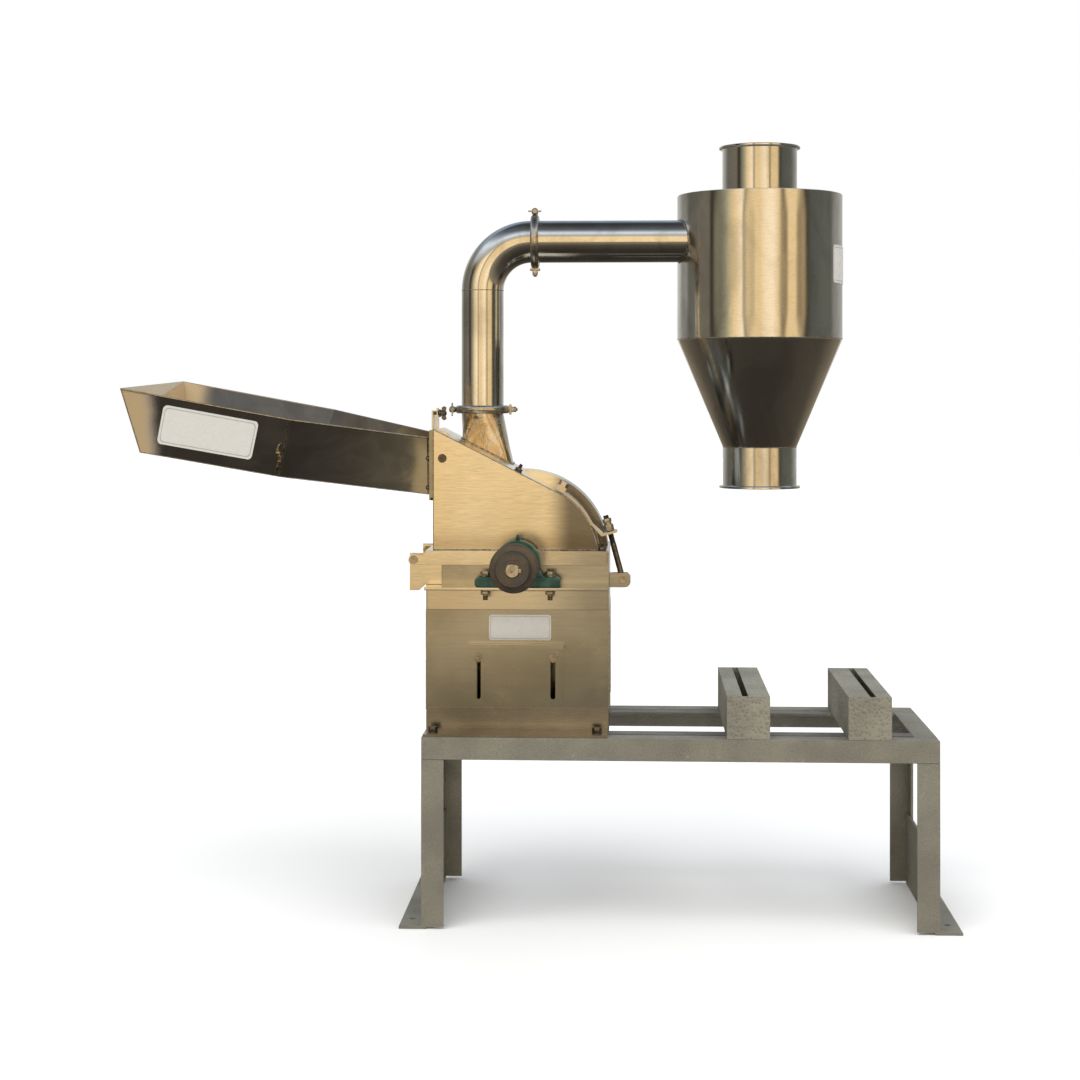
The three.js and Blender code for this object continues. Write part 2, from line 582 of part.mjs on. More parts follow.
function impeller() {
  const { hub, radius, plate, front, rear, blades, thick } = IMPELLER;
  const parts = [
    ring(SHAFT.radius + GAP, hub, front, rear, 20, "y"), ring(hub - 1, plate, rear - 4, rear, 20, "y")];
  for (let i = 0; i < blades; i++) {
    const blade = box(hub - 2, radius, front, rear - 3, -thick / 2, thick / 2);
    parts.push(blade.rotate([0, (i * 360) / blades, 0]));
  }
  return piece("blower_impeller", join(...parts), hardened);
}

function rotor() {
  const group = new THREE.Group();
  group.add(shaft(), pulley(), rotorHub(), impeller());
  pinAngles().forEach((angle, i) => group.add(hammerPin(i + 1, angle), hammerRow(i + 1, angle)));
  group.position.set(AXIS.x, 0, AXIS.z);
  return group;
}

// ---------- cover ----------
const coverBottom = FLANGE.bottom + FLANGE.thick + GAP;

// The cover's side outline: upright back, sloping roof, then a drum of the given radius.
function coverOutline(drum, inset, bottom, bulges) {
  const m = COVER.slope;
  const rise = inset * Math.hypot(1, m);
  const left = COVER.left + inset;
  const roofAt = (x) => COVER.top - rise - m * (x - COVER.left);
  const r = drum - inset;
  const a = roofAt(AXIS.x) - AXIS.z;
  const root = Math.sqrt((1 + m * m) * r * r - a * a);
  const u = (a * m + (bulges ? -root : root)) / (1 + m * m);
  const start = Math.atan2(a - m * u, u);
  const end = Math.asin((bottom - AXIS.z) / r);
  const shape = new THREE.Shape();
  shape.moveTo(left, bottom);
  shape.lineTo(left, roofAt(left));
  shape.lineTo(AXIS.x + u, AXIS.z + a - m * u);
  shape.absarc(AXIS.x, AXIS.z, r, start, end, true);
  shape.lineTo(left, bottom);
  return shape;
}

function chamberCover() {
  const { left, wall, split } = COVER;
  const outer = prism(coverOutline(CHAMBER_RADIUS, 0, coverBottom, false), "y", CASING.front + 2, split);
  const inside = prism(
    coverOutline(CHAMBER_RADIUS, wall, coverBottom - 5, false), "y", CASING.front + 2 + wall, split - wall);
  const suction = rod(PARTITION_HOLE, "y", split - 10, split + 1, AXIS.x, AXIS.z, 24);
  const throat = box(left - 5, left + wall + 1, THROAT.front, THROAT.rear, THROAT.bottom, THROAT.top);
  const roof = (x) => COVER.top - COVER.slope * (x - left);
  const bracketOutline = [
    [left + 2, roof(left + 2) - 2], [left + 28, roof(left + 28) - 2], [left + 28, roof(left + 28) + 3],
    [left + 5, roof(left + 5) + 3], [left + 5, 1045], [left + 2, 1045]];
  const bracket = cut(
    prism(wound(bracketOutline), "y", GATE_SCREW.y - 12, GATE_SCREW.y + 12),
    rod(GATE_SCREW.radius + GAP, "x", left - 10, left + 20, GATE_SCREW.y, GATE_SCREW.z));
  return piece("chamber_cover", cut(join(cut(outer, inside), bracket), suction, throat), brushed);
}

function blowerCover() {
  const { wall, split, rear } = COVER;
  const front = split + GAP;
  const outer = prism(coverOutline(BLOWER_RADIUS, 0, coverBottom, true), "y", front, rear, 32);
  const inside = prism(
    coverOutline(BLOWER_RADIUS, wall, coverBottom - 5, true), "y", front + wall, rear - wall, 32);
  const suction = rod(PARTITION_HOLE + 2, "y", front - 5, front + 10, AXIS.x, AXIS.z, 24);
  const outlet = box(OUTLET.left, OUTLET.right, OUTLET.front, OUTLET.rear, 900, 1100);
  return piece("blower_cover", cut(cut(outer, inside), suction, outlet), brushed);
}

// The flange round the cover's foot, with the hinge straps in front and behind.
function coverFlange() {
  const { bottom, thick, out, strapThick } = FLANGE;
  const top = bottom + thick;
  const [y0, y1] = [CASING.front - out, CASING.rear + out];
  const plan = new THREE.Shape(rectangle(CASING.left, CASING.right, y0, y1));
  plan.holes.push(new THREE.Path(rectangle(COVER.left + 6, 100, CASING.front + 5, CASING.rear - 5)));
  const shelf = prism(plan, "z", bottom, top);
  const [low, high] = [HINGE.z - HINGE.eye + 1.1, HINGE.z + HINGE.eye - 1.1];
  const side = [
    [HINGE.x, low], [CASING.right - 4, low], [CASING.right - 4, bottom + 1], [CASING.left - 1, bottom + 1],
    [CASING.left - 6, high], [HINGE.x, high]];
  const straps = [y0, y1 - strapThick].map((y) => join(
    prism(side, "y", y, y + strapThick), rod(HINGE.eye, "y", y, y + strapThick, HINGE.x, HINGE.z, 20)));
  const eyes = rod(HINGE.pin + GAP, "y", y0 - 5, y1 + 5, HINGE.x, HINGE.z);
  const clearance = rod(SHAFT.hole, "y", y0 - 5, y1 + 5, AXIS.x, AXIS.z, 16);
  const below = box(AXIS.x - SHAFT.hole + 0.6, AXIS.x + SHAFT.hole - 0.6, y0 - 5, y1 + 5, low - 5, AXIS.z);
  return piece("cover_flange", cut(join(shelf, ...straps), eyes, clearance, below), brushed);
}

// The strap over the drum, ending in the forked lug that the swing bolt draws down.
function clampStrap() {
  const inner = CHAMBER_RADIUS + GAP;
  const outer = inner + 4;
  const shape = new THREE.Shape();
  const [a0, a1] = [THREE.MathUtils.degToRad(26), THREE.MathUtils.degToRad(60)];
  shape.absarc(0, 0, inner, a0, a1, false);
  shape.absarc(0, 0, outer, a1, a0, true);
  const arc = prism(shape, "y", -20, 20, 16).translate([AXIS.x, LATCH.y, AXIS.z]);
  const lean = THREE.MathUtils.degToRad(LATCH.lean);
  // local frame of the swing bolt: u outward across the rod, w up along it
  const toWorld = ([u, w]) => [
    LATCH.x + u * Math.cos(lean) - w * Math.sin(lean), LATCH.z + u * Math.sin(lean) + w * Math.cos(lean)];
  const seat = LATCH.seat;
  const edge = (r, a) => [AXIS.x + r * Math.cos(a), AXIS.z + r * Math.sin(a)];
  const lug = [
    edge(inner + 0.2, a0 + 0.02), edge(outer - 0.2, a0 + 0.02), toWorld([-15, seat]), toWorld([15, seat]),
    toWorld([15, seat - 5]), toWorld([-19, seat - 5])];
  const fork = box(-8, 30, -7, 7, -30, 30).rotate([0, -LATCH.lean, 0]);
  const [rodX, rodZ] = toWorld([0, seat]);
  const anchorOutline = [
    edge(inner + 1, a1 - 0.06), edge(inner + 13, a1 - 0.06),
    edge(inner + 13, a1 + 0.06), edge(inner + 1, a1 + 0.06)];
  const anchor = prism(wound(anchorOutline), "y", LATCH.y - 16, LATCH.y + 16);
  const head = prism(hexagon(19), "z", inner + 12, inner + 22)
    .rotate([0, 90 - THREE.MathUtils.radToDeg(a1), 0]).translate([AXIS.x, LATCH.y, AXIS.z]);
  const solid = join(arc, prism(wound(lug), "y", LATCH.y - 20, LATCH.y + 20), anchor, head);
  return piece("clamp_strap", cut(solid, fork.translate([rodX, LATCH.y, rodZ])), brushed);
}

// ---------- swing bolt, modelled upright about its pin and leaned over ----------
function swingBolt() {
  const { rod: radius, seat, slack, lean } = LATCH;
  const eye = cut(
    join(rod(12, "y", -6, 6, 0, 0, 16), rod(radius, "z", 5, seat + 34)), rod(5.3, "y", -10, 10));
  const bottom = seat + slack;
  const nut = cut(
    join(
      rod(10.5, "z", bottom, bottom + 2.5, 0, 0, 12), prism(hexagon(18), "z", bottom + 2, bottom + 13),
      rod(8, "z", bottom + 12, bottom + 19), prism(hexagon(16.5), "z", bottom + 18, bottom + 26)),
    rod(radius + GAP, "z", 0, seat + 40));
  const group = new THREE.Group();
  group.add(piece("swing_bolt", eye, zinc), piece("swing_nut", nut, zinc));
  group.position.set(LATCH.x, LATCH.y, LATCH.z);
  group.rotation.y = THREE.MathUtils.degToRad(-lean);
  return group;
}

// ---------- feed gate ----------
function feedGate() {
  const { front, rear, bottom, top, thick, gap, lip } = FEED_GATE;
  const x1 = COVER.left - gap;
  const sheet = box(x1 - thick, x1, front, rear, bottom, top);
  const handle = box(x1 - 1, x1 + lip, front, rear, top - thick, top);
  const notch = box(x1 + 0.2, x1 + lip + 10, GATE_SCREW.y - 20, GATE_SCREW.y + 20, top - 10, top + 10);
  return piece("feed_gate", cut(join(sheet, handle), notch), brushed);
}

function gateScrew() {
  const { y, z, radius } = GATE_SCREW;
  const x = COVER.left;
  const solid = join(
    rod(radius, "x", x - 0.8, x + 22, y, z), rod(2 * radius, "x", x + 6, x + 10, y, z),
    rod(radius + 1.5, "x", x + 9, x + 20, y, z), box(x + 11, x + 21, y - 2, y + 2, z - 14, z + 14));
  return piece("gate_screw", solid, castIron);
}

// ---------- feed hopper ----------
// The section's loop: outside corners, then the inside ones back.
function troughLoop([rimF, floorF, floorR, rimR]) {
  const inner = ([x, y, z], dy, dz) => [x, y + dy, z + dz];
  return [
    rimF, floorF, floorR, rimR,
    inner(rimR, -SHEET, 0), inner(floorR, -SHEET, SHEET),
    inner(floorF, SHEET, SHEET), inner(rimF, SHEET, 0)];
}

function between(a, b, steps) {
  const loops = [];
  for (let i = 0; i <= steps; i++) {
    loops.push(a.map((p, k) => p.map((v, c) => v + ((b[k][c] - v) * i) / steps)));
  }
  return loops;
}

function hopper() {
  const { end, bend, throat } = TRAY;
  const straight = loft([troughLoop(end), troughLoop(bend)]);
  const tapered = loft(between(troughLoop(bend), troughLoop(throat), 6));
  const inward = end.map(([x, y, z]) => [x + 3, y, z]);
  const endPlate = loft([end, inward]);
  const { front, rear, bottom, top, side, sill, thick } = TRAY_FLANGE;
  const x0 = throat[0][0] - GAP;
  const x1 = x0 + thick;
  const flange = cut(
    box(x0, x1, front, rear, bottom, top),
    box(x0 - 10, x1 + 10, front + side, rear - side, bottom + sill, top + 10));
  const guides = [[front, front + 7, top], [rear - 7, rear, top], [front, rear, bottom + 5.5]].map(
    ([y0, y1, z1]) => box(x1 - 0.4, COVER.left - GAP, y0, y1, bottom, z1));
  return piece("feed_hopper", join(straight, tapered, endPlate, flange, ...guides), polished);
}

// ---------- neck, pipes and clamps ----------
// Square foot on the sloping roof, round top: matching loops of the same number of points.
function neck() {
  const steps = 16;
  const roof = (x) => COVER.top - COVER.slope * (x - COVER.left) + GAP;
  const footLoop = (inset) => {
    const loop = [];
    const [cx, cy] = [NECK_FOOT.x, PIPE.y];
    const [hx, hy] = [NECK_FOOT.halfLength - inset, NECK_FOOT.halfWidth - inset];
    for (let i = 0; i < steps; i++) {
      const a = (2 * Math.PI * (i + 0.5)) / steps;
      const k = 1 / Math.max(Math.abs(Math.cos(a)), Math.abs(Math.sin(a)));
      const [x, y] = [cx + hx * k * Math.cos(a), cy + hy * k * Math.sin(a)];
      loop.push([x, y, roof(x)]);
    }
    return loop;
  };
  const circleLoop = (radius, z) => {
    const loop = [];
    for (let i = 0; i < steps; i++) {
      const a = (2 * Math.PI * (i + 0.5)) / steps;
      loop.push([PIPE.riserX + radius * Math.cos(a), PIPE.y + radius * Math.sin(a), z]);
    }
    return loop;
  };
  const top = JOINT_Z - GAP;
  const blend = (foot, round) => between(foot, round, 3);
  const outer = loft([
    ...blend(footLoop(0), circleLoop(PIPE.radius, top - 12)), circleLoop(PIPE.radius, top)]);
  const drop = ([x, y, z]) => [x, y, z - 20];
  const innerFoot = footLoop(2.5);
  const inner = loft([innerFoot.map(drop),
    ...blend(innerFoot, circleLoop(PIPE.radius - PIPE.wall, top - 12)),
    circleLoop(PIPE.radius - PIPE.wall, top + 5)]);
  const collar = ring(PIPE.radius - 0.5, FERRULE.radius, top - FERRULE.thick, top)
    .translate([PIPE.riserX, PIPE.y, 0]);
  return piece("neck", cut(join(outer, collar), inner), polished);
}

// Circles of the given radius up the riser, round the elbow and out to the cross pipe's joint.
function riserLoops(radius, low, far) {
  const { riserX, y, crossZ, bend } = PIPE;
  const [sides, turns] = [18, 7];
  const centre = { x: riserX + bend, z: crossZ - bend };
  const stations = [{ x: riserX, z: low, tilt: 0 }];
  for (let i = 0; i <= turns; i++) {
    const tilt = (i * Math.PI) / 2 / turns;
    stations.push({ x: centre.x - bend * Math.cos(tilt), z: centre.z + bend * Math.sin(tilt), tilt });
  }
  stations.push({ x: far, z: crossZ, tilt: Math.PI / 2 });
  return stations.map(({ x, z, tilt }) => {
    const loop = [];
    for (let i = 0; i < sides; i++) {
      const a = (2 * Math.PI * i) / sides;
      const across = radius * Math.cos(a);
      loop.push([x + across * Math.cos(tilt), y + radius * Math.sin(a), z - across * Math.sin(tilt)]);
    }
    return loop;
  });
}

function riserPipe() {
  const { riserX, y, crossZ, radius, wall } = PIPE;
  const z0 = JOINT_Z + GAP;
  const x1 = JOINT_X - GAP;
  const outer = loft(riserLoops(radius, z0, x1));
  const hollow = loft(riserLoops(radius - wall, z0 - 10, x1 + 10));
  const collars = [
    rod(FERRULE.radius, "z", z0, z0 + FERRULE.thick, riserX, y, 18),
    rod(FERRULE.radius, "x", x1 - FERRULE.thick, x1, y, crossZ, 18)];
  return piece("riser_pipe", cut(join(outer, ...collars), hollow), polished);
}

function crossPipe() {
  const { y, crossZ, radius, wall } = PIPE;
  const x0 = JOINT_X + GAP;
  const outer = join(
    rod(radius, "x", x0, CYCLONE.x, y, crossZ, 18),
    rod(FERRULE.radius, "x", x0, x0 + FERRULE.thick, y, crossZ, 18));
  const hollow = rod(radius - wall, "x", x0 - 5, CYCLONE.x + 5, y, crossZ, 18);
  const body = rod(CYCLONE.radius + 0.6, "z", 1100, 1600, CYCLONE.x, CYCLONE.y, 60);
  return piece("cross_pipe", cut(outer, hollow, body), polished);
}

// A hinged ring with a wing nut on one side, centred on its own Z axis.
function pipeClamp(name) {
  const r = FERRULE.radius + 1.2;
  const half = FERRULE.thick + 1;
  const lip = PIPE.radius + 1.5;
  const band = lathe([
    [lip, half], [lip, half + 3], [r + 1, half + 3], [r + 5, half], [r + 5, -half], [r + 1, -half - 3],
    [lip, -half - 3], [lip, -half], [r, -half], [r, half], [lip, half]], 18);
  const lug = (side) => {
    const [x0, x1] = [side * r, side * (r + 14)].sort((a, b) => a - b);
    return box(x0, x1, -7, 7, -6, 6);
  };
  const boltX = -(r + 11);
  const bolt = rod(3.5, "y", -17, 17, boltX, 0, 12);
  const wing = join(rod(8, "y", -19, -7.5, boltX, 0, 12), box(boltX - 14, boltX + 6, -17.5, -13, -13, 13));
  const hinge = join(
    rod(5, "y", -11, 11, r + 12, 0, 12),
    box(r + 4, r + 9, -8, 8, -11, 11),
    rod(4, "x", r + 8, r + 22, 0, 0, 12));
  return piece(name, join(band, lug(-1), lug(1), bolt, wing, hinge), brushed);
}

function clamps() {
  const lower = pipeClamp("riser_clamp");
  lower.position.set(PIPE.riserX, PIPE.y, JOINT_Z);
  const upper = pipeClamp("elbow_clamp");
  upper.position.set(JOINT_X, PIPE.y, PIPE.crossZ);
  upper.rotation.y = Math.PI / 2;
  return [lower, upper];
}

// ---------- cyclone, about its own axis ----------
function cyclone() {
  const { x, y, radius, wall, coneBottom, bodyBottom, bodyTop } = CYCLONE;
  const spigot = CYCLONE_SPIGOT;
  const outlet = CYCLONE_NECK;
  const roofHole = outlet.radius + GAP + 0.2;
  const shell = lathe([
    [spigot.radius - wall, spigot.bottom], [spigot.rim, spigot.bottom],
    [spigot.rim, spigot.bottom + spigot.thick], [spigot.radius, spigot.bottom + spigot.thick],
    [spigot.radius, coneBottom], [radius, bodyBottom], [radius, bodyTop],
    [roofHole, bodyTop + 7], [roofHole, bodyTop + 4], [radius - wall, bodyTop - wall],
    [radius - wall, bodyBottom], [spigot.radius - wall, coneBottom],
    [spigot.radius - wall, spigot.bottom]], 30);
  const inlet = rod(PIPE.radius - PIPE.wall, "x", -radius - 20, -80, PIPE.y - y, PIPE.crossZ, 18);
  const top = outlet.top;
  const finder = lathe([
    [outlet.radius - wall, outlet.bottom], [outlet.radius, outlet.bottom],
    [outlet.radius, top - outlet.thick], [outlet.rim, top - outlet.thick], [outlet.rim, top],
    [outlet.radius - wall, top], [outlet.radius - wall, outlet.bottom]], 24);
  const group = new THREE.Group();
  group.add(piece("cyclone_body", cut(shell, inlet), polished), piece("cyclone_outlet", finder, polished));
  group.position.set(x, y, 0);
  return group;
}

// ---------- assembly ----------
const mill = new THREE.Group();
mill.add(...benchBeams(), ...slotBars(), endFrame("left_end_frame", -1), endFrame("right_end_frame", 1));
["left", "right"].forEach((side, i) => mill.add(
  motorRail(`motor_rail_${side}`, RAIL_CENTRES[i], RAIL_SLOT_SHIFTS[i]),
  railClamp(`rail_clamp_${side}`, RAIL_CENTRES[i])));
mill.add(lowerCasing(), clevis(), clevisPin(), sieve(), dischargeGate(), gateBolts());
[["front", -1], ["rear", 1]].forEach(([end, side]) => mill.add(
  casingFoot(`casing_foot_${end}`, side), footBolts(`foot_bolts_${end}`, side),
  bearingLedge(`bearing_ledge_${end}`, side), hingeLug(`hinge_lug_${end}`, side),
  hingePin(`hinge_pin_${end}`, side), pillowBlock(`pillow_block_${end}`, side),
  bearingInsert(`bearing_insert_${end}`, side), pillowBolts(`pillow_bolts_${end}`, side)));
mill.add(rotor(), chamberCover(), blowerCover(), coverFlange(), clampStrap(), swingBolt());
mill.add(feedGate(), gateScrew(), hopper(), neck(), riserPipe(), crossPipe(), ...clamps(), cyclone());

// The origin is on the floor, at the middle of the bounding box.
mill.updateMatrixWorld(true);
const bounds = new THREE.Box3().setFromObject(mill, true);
const middle = bounds.getCenter(new THREE.Vector3());
mill.position.set(-middle.x, -middle.y, -bounds.min.z);

export default mill;
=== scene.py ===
import json
import math

import bmesh
import bpy
from mathutils import Matrix, Vector, noise


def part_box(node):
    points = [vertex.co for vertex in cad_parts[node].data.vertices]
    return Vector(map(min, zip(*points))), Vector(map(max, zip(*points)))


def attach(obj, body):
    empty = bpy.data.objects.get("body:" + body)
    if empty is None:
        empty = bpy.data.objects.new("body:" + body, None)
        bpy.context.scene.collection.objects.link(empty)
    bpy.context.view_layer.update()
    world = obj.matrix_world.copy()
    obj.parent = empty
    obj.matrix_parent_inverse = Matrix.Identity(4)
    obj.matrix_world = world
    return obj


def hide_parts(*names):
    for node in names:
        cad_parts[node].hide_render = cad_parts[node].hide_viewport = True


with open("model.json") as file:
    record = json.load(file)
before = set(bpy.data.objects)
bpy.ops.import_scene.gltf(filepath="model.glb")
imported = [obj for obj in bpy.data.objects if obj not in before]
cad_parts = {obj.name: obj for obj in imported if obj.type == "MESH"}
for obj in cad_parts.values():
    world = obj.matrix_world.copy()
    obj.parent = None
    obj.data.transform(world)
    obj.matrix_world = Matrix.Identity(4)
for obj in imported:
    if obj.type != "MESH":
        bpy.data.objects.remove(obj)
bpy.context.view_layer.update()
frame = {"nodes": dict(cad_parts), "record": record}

# ---------- the design's own frame: millimetres, before its origin was moved ----------
MM = 0.001
BEAM_CORNER = (-249, -200)
SHIFT = Vector((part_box("front_beam")[0].x - BEAM_CORNER[0] * MM,
                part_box("front_beam")[0].y - BEAM_CORNER[1] * MM, 0))
TO_FRAME = Matrix.Translation(SHIFT) @ Matrix.Scale(MM, 4)

GAP = 0.3  # between pieces that touch
AXIS = (-57, 732)  # rotor shaft, x and z
CASING = {"left": -248, "right": 127, "front": -112, "rear": 140, "weld": (428, 632)}
LEDGE = {"top": 684, "thick": 6}
PIPE = {"radius": 45, "wall": 2, "y": 91, "riser_x": -147, "cross_z": 1401, "bend": 105}
FERRULE = {"radius": 52, "thick": 4.5}
JOINT_Z = 1041  # riser's foot
JOINT_X = -34  # between the elbow and the cross pipe
CYCLONE = {"x": 448.6, "y": 130, "radius": 177, "wall": 2.5, "cone": 960, "barrel": 1192, "top": 1499}
COVER = {"left": -233.6, "top": 1001.5, "slope": 0.507, "wall": 3, "split": 45, "rear": 138, "bottom": 754.3}
DRUM = {"chamber": 162, "blower": 181}
SUCTION = {"chamber": 60, "blower": 62}
THROAT = (-95, 25, 868, 986)  # y and z of the hole for the feed
OUTLET = (-180, -90, 56, 126)  # x and y of the blower's outlet
NECK_FOOT = {"x": -135, "half_length": 54, "half_width": 43, "squareness": 7}
LATCH = {"x": 155, "y": -60, "z": 690, "lean": 15, "seat": 103.6, "slack": 1.2}
GATE = {"slot_x": (-140, 12.6), "bolt_z": 535, "face": -119.3, "inner": -108.7}
GATE_SCREW = (-50, 1034)  # y and z
HINGE = {"x": -271.5, "z": 735.5, "front": (-129, -112), "rear": (157, 140)}
SHAFT = {"front": -345, "step": -255, "rear": 212, "radius": 17.5, "end_radius": 14}
PILLOW = {"out": 44, "bolt_x": 65.5}
RAILS = {"left": 406, "right": 647}
BENCH_SLOTS = (-150, 180)  # y of the slot bars' middles
FOOT_BOLTS = (-230, 103)
FOOT_SEAT = 390.6
RAIL_SEAT = 389.6
UNDER_BENCH = 378.7
M10 = {"shank": 4.7, "hex": 17, "washer": 10}
M12 = {"shank": 5.5, "hex": 18, "nut": 17, "washer": 11.5}
ROUND = 96  # sides of a large turned piece

# Corners of the trough's sections: front rim, front floor, rear floor, rear rim.
TRAY = {
    "end": [(-843, -260, 1084), (-813, -223, 957), (-813, 223, 972), (-836, 260, 1101)],
    "bend": [(-501, -260, 1022), (-528, -223, 908), (-528, 223, 921), (-493, 260, 1038)],
    "throat": [(-241.5, -105, 983), (-241.5, -105, 868), (-241.5, 35, 868), (-241.5, 35, 990)],
}
SHEET = 2.5
TRAY_FLANGE = ((-112, -102, 856, 1000), (32, 42, 856, 1000), (-102, 32, 856, 871))
GATE_GUIDES = ((-112, -105, 856, 1000), (35, 42, 856, 1000), (-112, 42, 856, 861.5))
FLANGE_X = (-241.8, -238.8)

CAMERA = {"place": (0.1845, -4.181, 1.072), "turn": 2.69, "lens": 66.67, "rise": -0.1343}

BODIES = frame["record"]["behaviour"]["bodies"]
BODY_OF = {node: body for body, nodes in BODIES.items() for node in nodes}


# ---------- node materials ----------
class Nodes:
    """A node tree under construction, fed by one kind of coordinate."""

    def __init__(self, tree, coordinate):
        self.tree = tree
        self.place = tree.nodes.new("ShaderNodeTexCoord").outputs[coordinate]

    def node(self, kind, inputs=(), **settings):
        made = self.tree.nodes.new(kind)
        for key, value in settings.items():
            setattr(made, key, value)
        for socket, value in dict(inputs).items():
            self.feed(made.inputs[socket], value)
        return made

    def feed(self, socket, value):
        if isinstance(value, bpy.types.NodeSocket):
            self.tree.links.new(value, socket)
        else:
            socket.default_value = value

    def stretched(self, scale):
        made = self.node("ShaderNodeMapping", {"Vector": self.place, "Scale": scale})
        return made.outputs["Vector"]

    def noise(self, scale, stretch=(1, 1, 1), detail=4.0, rough=0.55, warp=0.0):
        made = self.node("ShaderNodeTexNoise", {
            "Vector": self.stretched(stretch), "Scale": scale, "Detail": detail, "Roughness": rough,
            "Distortion": warp})
        return made.outputs["Fac"]

    def cells(self, scale):
        made = self.node("ShaderNodeTexVoronoi", {"Vector": self.stretched((1, 1, 1)), "Scale": scale})
        return made.outputs["Distance"]

    def math(self, operation, a, b=0.0, clamp=False):
        made = self.node("ShaderNodeMath", {0: a, 1: b}, operation=operation, use_clamp=clamp)
        return made.outputs[0]

    def add(self, a, b):
        return self.math("ADD", a, b)

    def times(self, a, b):
        return self.math("MULTIPLY", a, b)

    def remap(self, value, low, high, to_low=0.0, to_high=1.0):
        made = self.node("ShaderNodeMapRange", {
            "Value": value, "From Min": low, "From Max": high, "To Min": to_low, "To Max": to_high})
        made.interpolation_type = "SMOOTHSTEP"
        return made.outputs["Result"]

    def part(self, axis):
        return self.node("ShaderNodeSeparateXYZ", {0: self.place}).outputs[axis]

    def shade(self, color, axis, start, end, tint):
        """Paints shade: darkens a colour by a tint from start to end along an axis, in metres."""
        return self.mix(self.remap(self.part(axis), start, end), color, tint, "MULTIPLY")

    def mix(self, factor, a, b, blend="MIX"):
        made = self.node("ShaderNodeMix", data_type="RGBA", blend_type=blend)
        self.feed(made.inputs[0], factor)
        self.feed(made.inputs[6], a)
        self.feed(made.inputs[7], b)
        return made.outputs[2]

    def ramp(self, factor, *stops):
        made = self.node("ShaderNodeValToRGB", {"Fac": factor})
        band = made.color_ramp
        while len(band.elements) < len(stops):
            band.elements.new(0.5)
        for element, (position, color) in zip(band.elements, stops):
            element.position = position
            element.color = color
        return made.outputs["Color"]


class Look(Nodes):
    """A material under construction: one Principled shader and the nodes that feed it."""

    def __init__(self, name, metallic=1.0):
        self.material = bpy.data.materials.new(name)
        self.material.use_nodes = True
        super().__init__(self.material.node_tree, "Object")
        self.shader = self.tree.nodes["Principled BSDF"]
        self.shader.inputs["Metallic"].default_value = metallic

    def bump(self, *layers):
        """Layers are (height, strength, distance in metres), the coarsest first."""
        normal = None
        for height, strength, distance in layers:
            made = self.node("ShaderNodeBump", {
                "Height": height, "Strength": strength, "Distance": distance})
            if normal is not None:
                self.feed(made.inputs["Normal"], normal)
            normal = made.outputs["Normal"]
        self.feed(self.shader.inputs["Normal"], normal)

    def finish(self, color, roughness):
        self.feed(self.shader.inputs["Base Color"], color)
        self.feed(self.shader.inputs["Roughness"], roughness)
        return self.material


def rgb(red, green, blue):
    return (red, green, blue, 1.0)


def brushed_stainless(name, grain, tint, dull, roughness, waviness=0.05, shades=()):
    """Sheet with a brushing direction: grain is the stretch of its fine lines."""
    look = Look(name)
    lines = look.noise(1100, grain, detail=2, rough=0.6)
    bands = look.noise(190, grain, detail=2, rough=0.5)
    clouds = look.noise(4.5, detail=4, rough=0.5, warp=0.4)
    smears = look.noise(13, (1, 1, 1.6), detail=5, rough=0.6, warp=0.8)
    color = look.mix(look.remap(clouds, 0.36, 0.68), tint, dull)
    color = look.mix(look.remap(lines, 0.38, 0.72, 0.0, 0.16), color, rgb(0.42, 0.39, 0.34), "MULTIPLY")
    color = look.mix(look.remap(bands, 0.42, 0.70, 0.0, 0.07), color, rgb(0.42, 0.39, 0.34), "MULTIPLY")
    color = look.mix(look.remap(smears, 0.60, 0.76, 0.0, 0.14), color, rgb(0.86, 0.84, 0.80))
    # shades are painted shade and painted reflection: each darkens the colour along an axis
    for axis, start, end, shade_tint in shades:
        color = look.shade(color, axis, start, end, shade_tint)
    gloss = look.add(look.remap(lines, 0.3, 0.7, roughness - 0.03, roughness + 0.05),
                     look.remap(smears, 0.5, 0.75, 0.0, 0.05))
    look.bump((look.noise(2.6, detail=1), waviness, 0.010), (lines, 0.035, 0.0002))
    return look.finish(color, gloss)


def polished_stainless(name, tint, dull, roughness, waviness=0.3):
    """Bright rolled tube and drum: fine lines round it and a faint ripple."""
    look = Look(name)
    lines = look.noise(90, (1, 1, 9), detail=4, rough=0.7)
    stains = look.noise(9, (1, 1, 0.6), detail=6, rough=0.62, warp=0.8)
    specks = look.cells(160)
    color = look.mix(look.remap(stains, 0.40, 0.70), tint, dull)
    color = look.mix(look.remap(lines, 0.40, 0.75, 0.0, 0.18), color, rgb(0.30, 0.27, 0.22), "MULTIPLY")
    gloss = look.add(look.remap(stains, 0.35, 0.72, roughness, roughness + 0.09),
                     look.remap(specks, 0.0, 0.12, 0.05, 0.0))
    look.bump((look.noise(4.0, (1, 1, 0.35), detail=2), waviness, 0.006), (lines, 0.03, 0.0004))
    return look.finish(color, gloss)


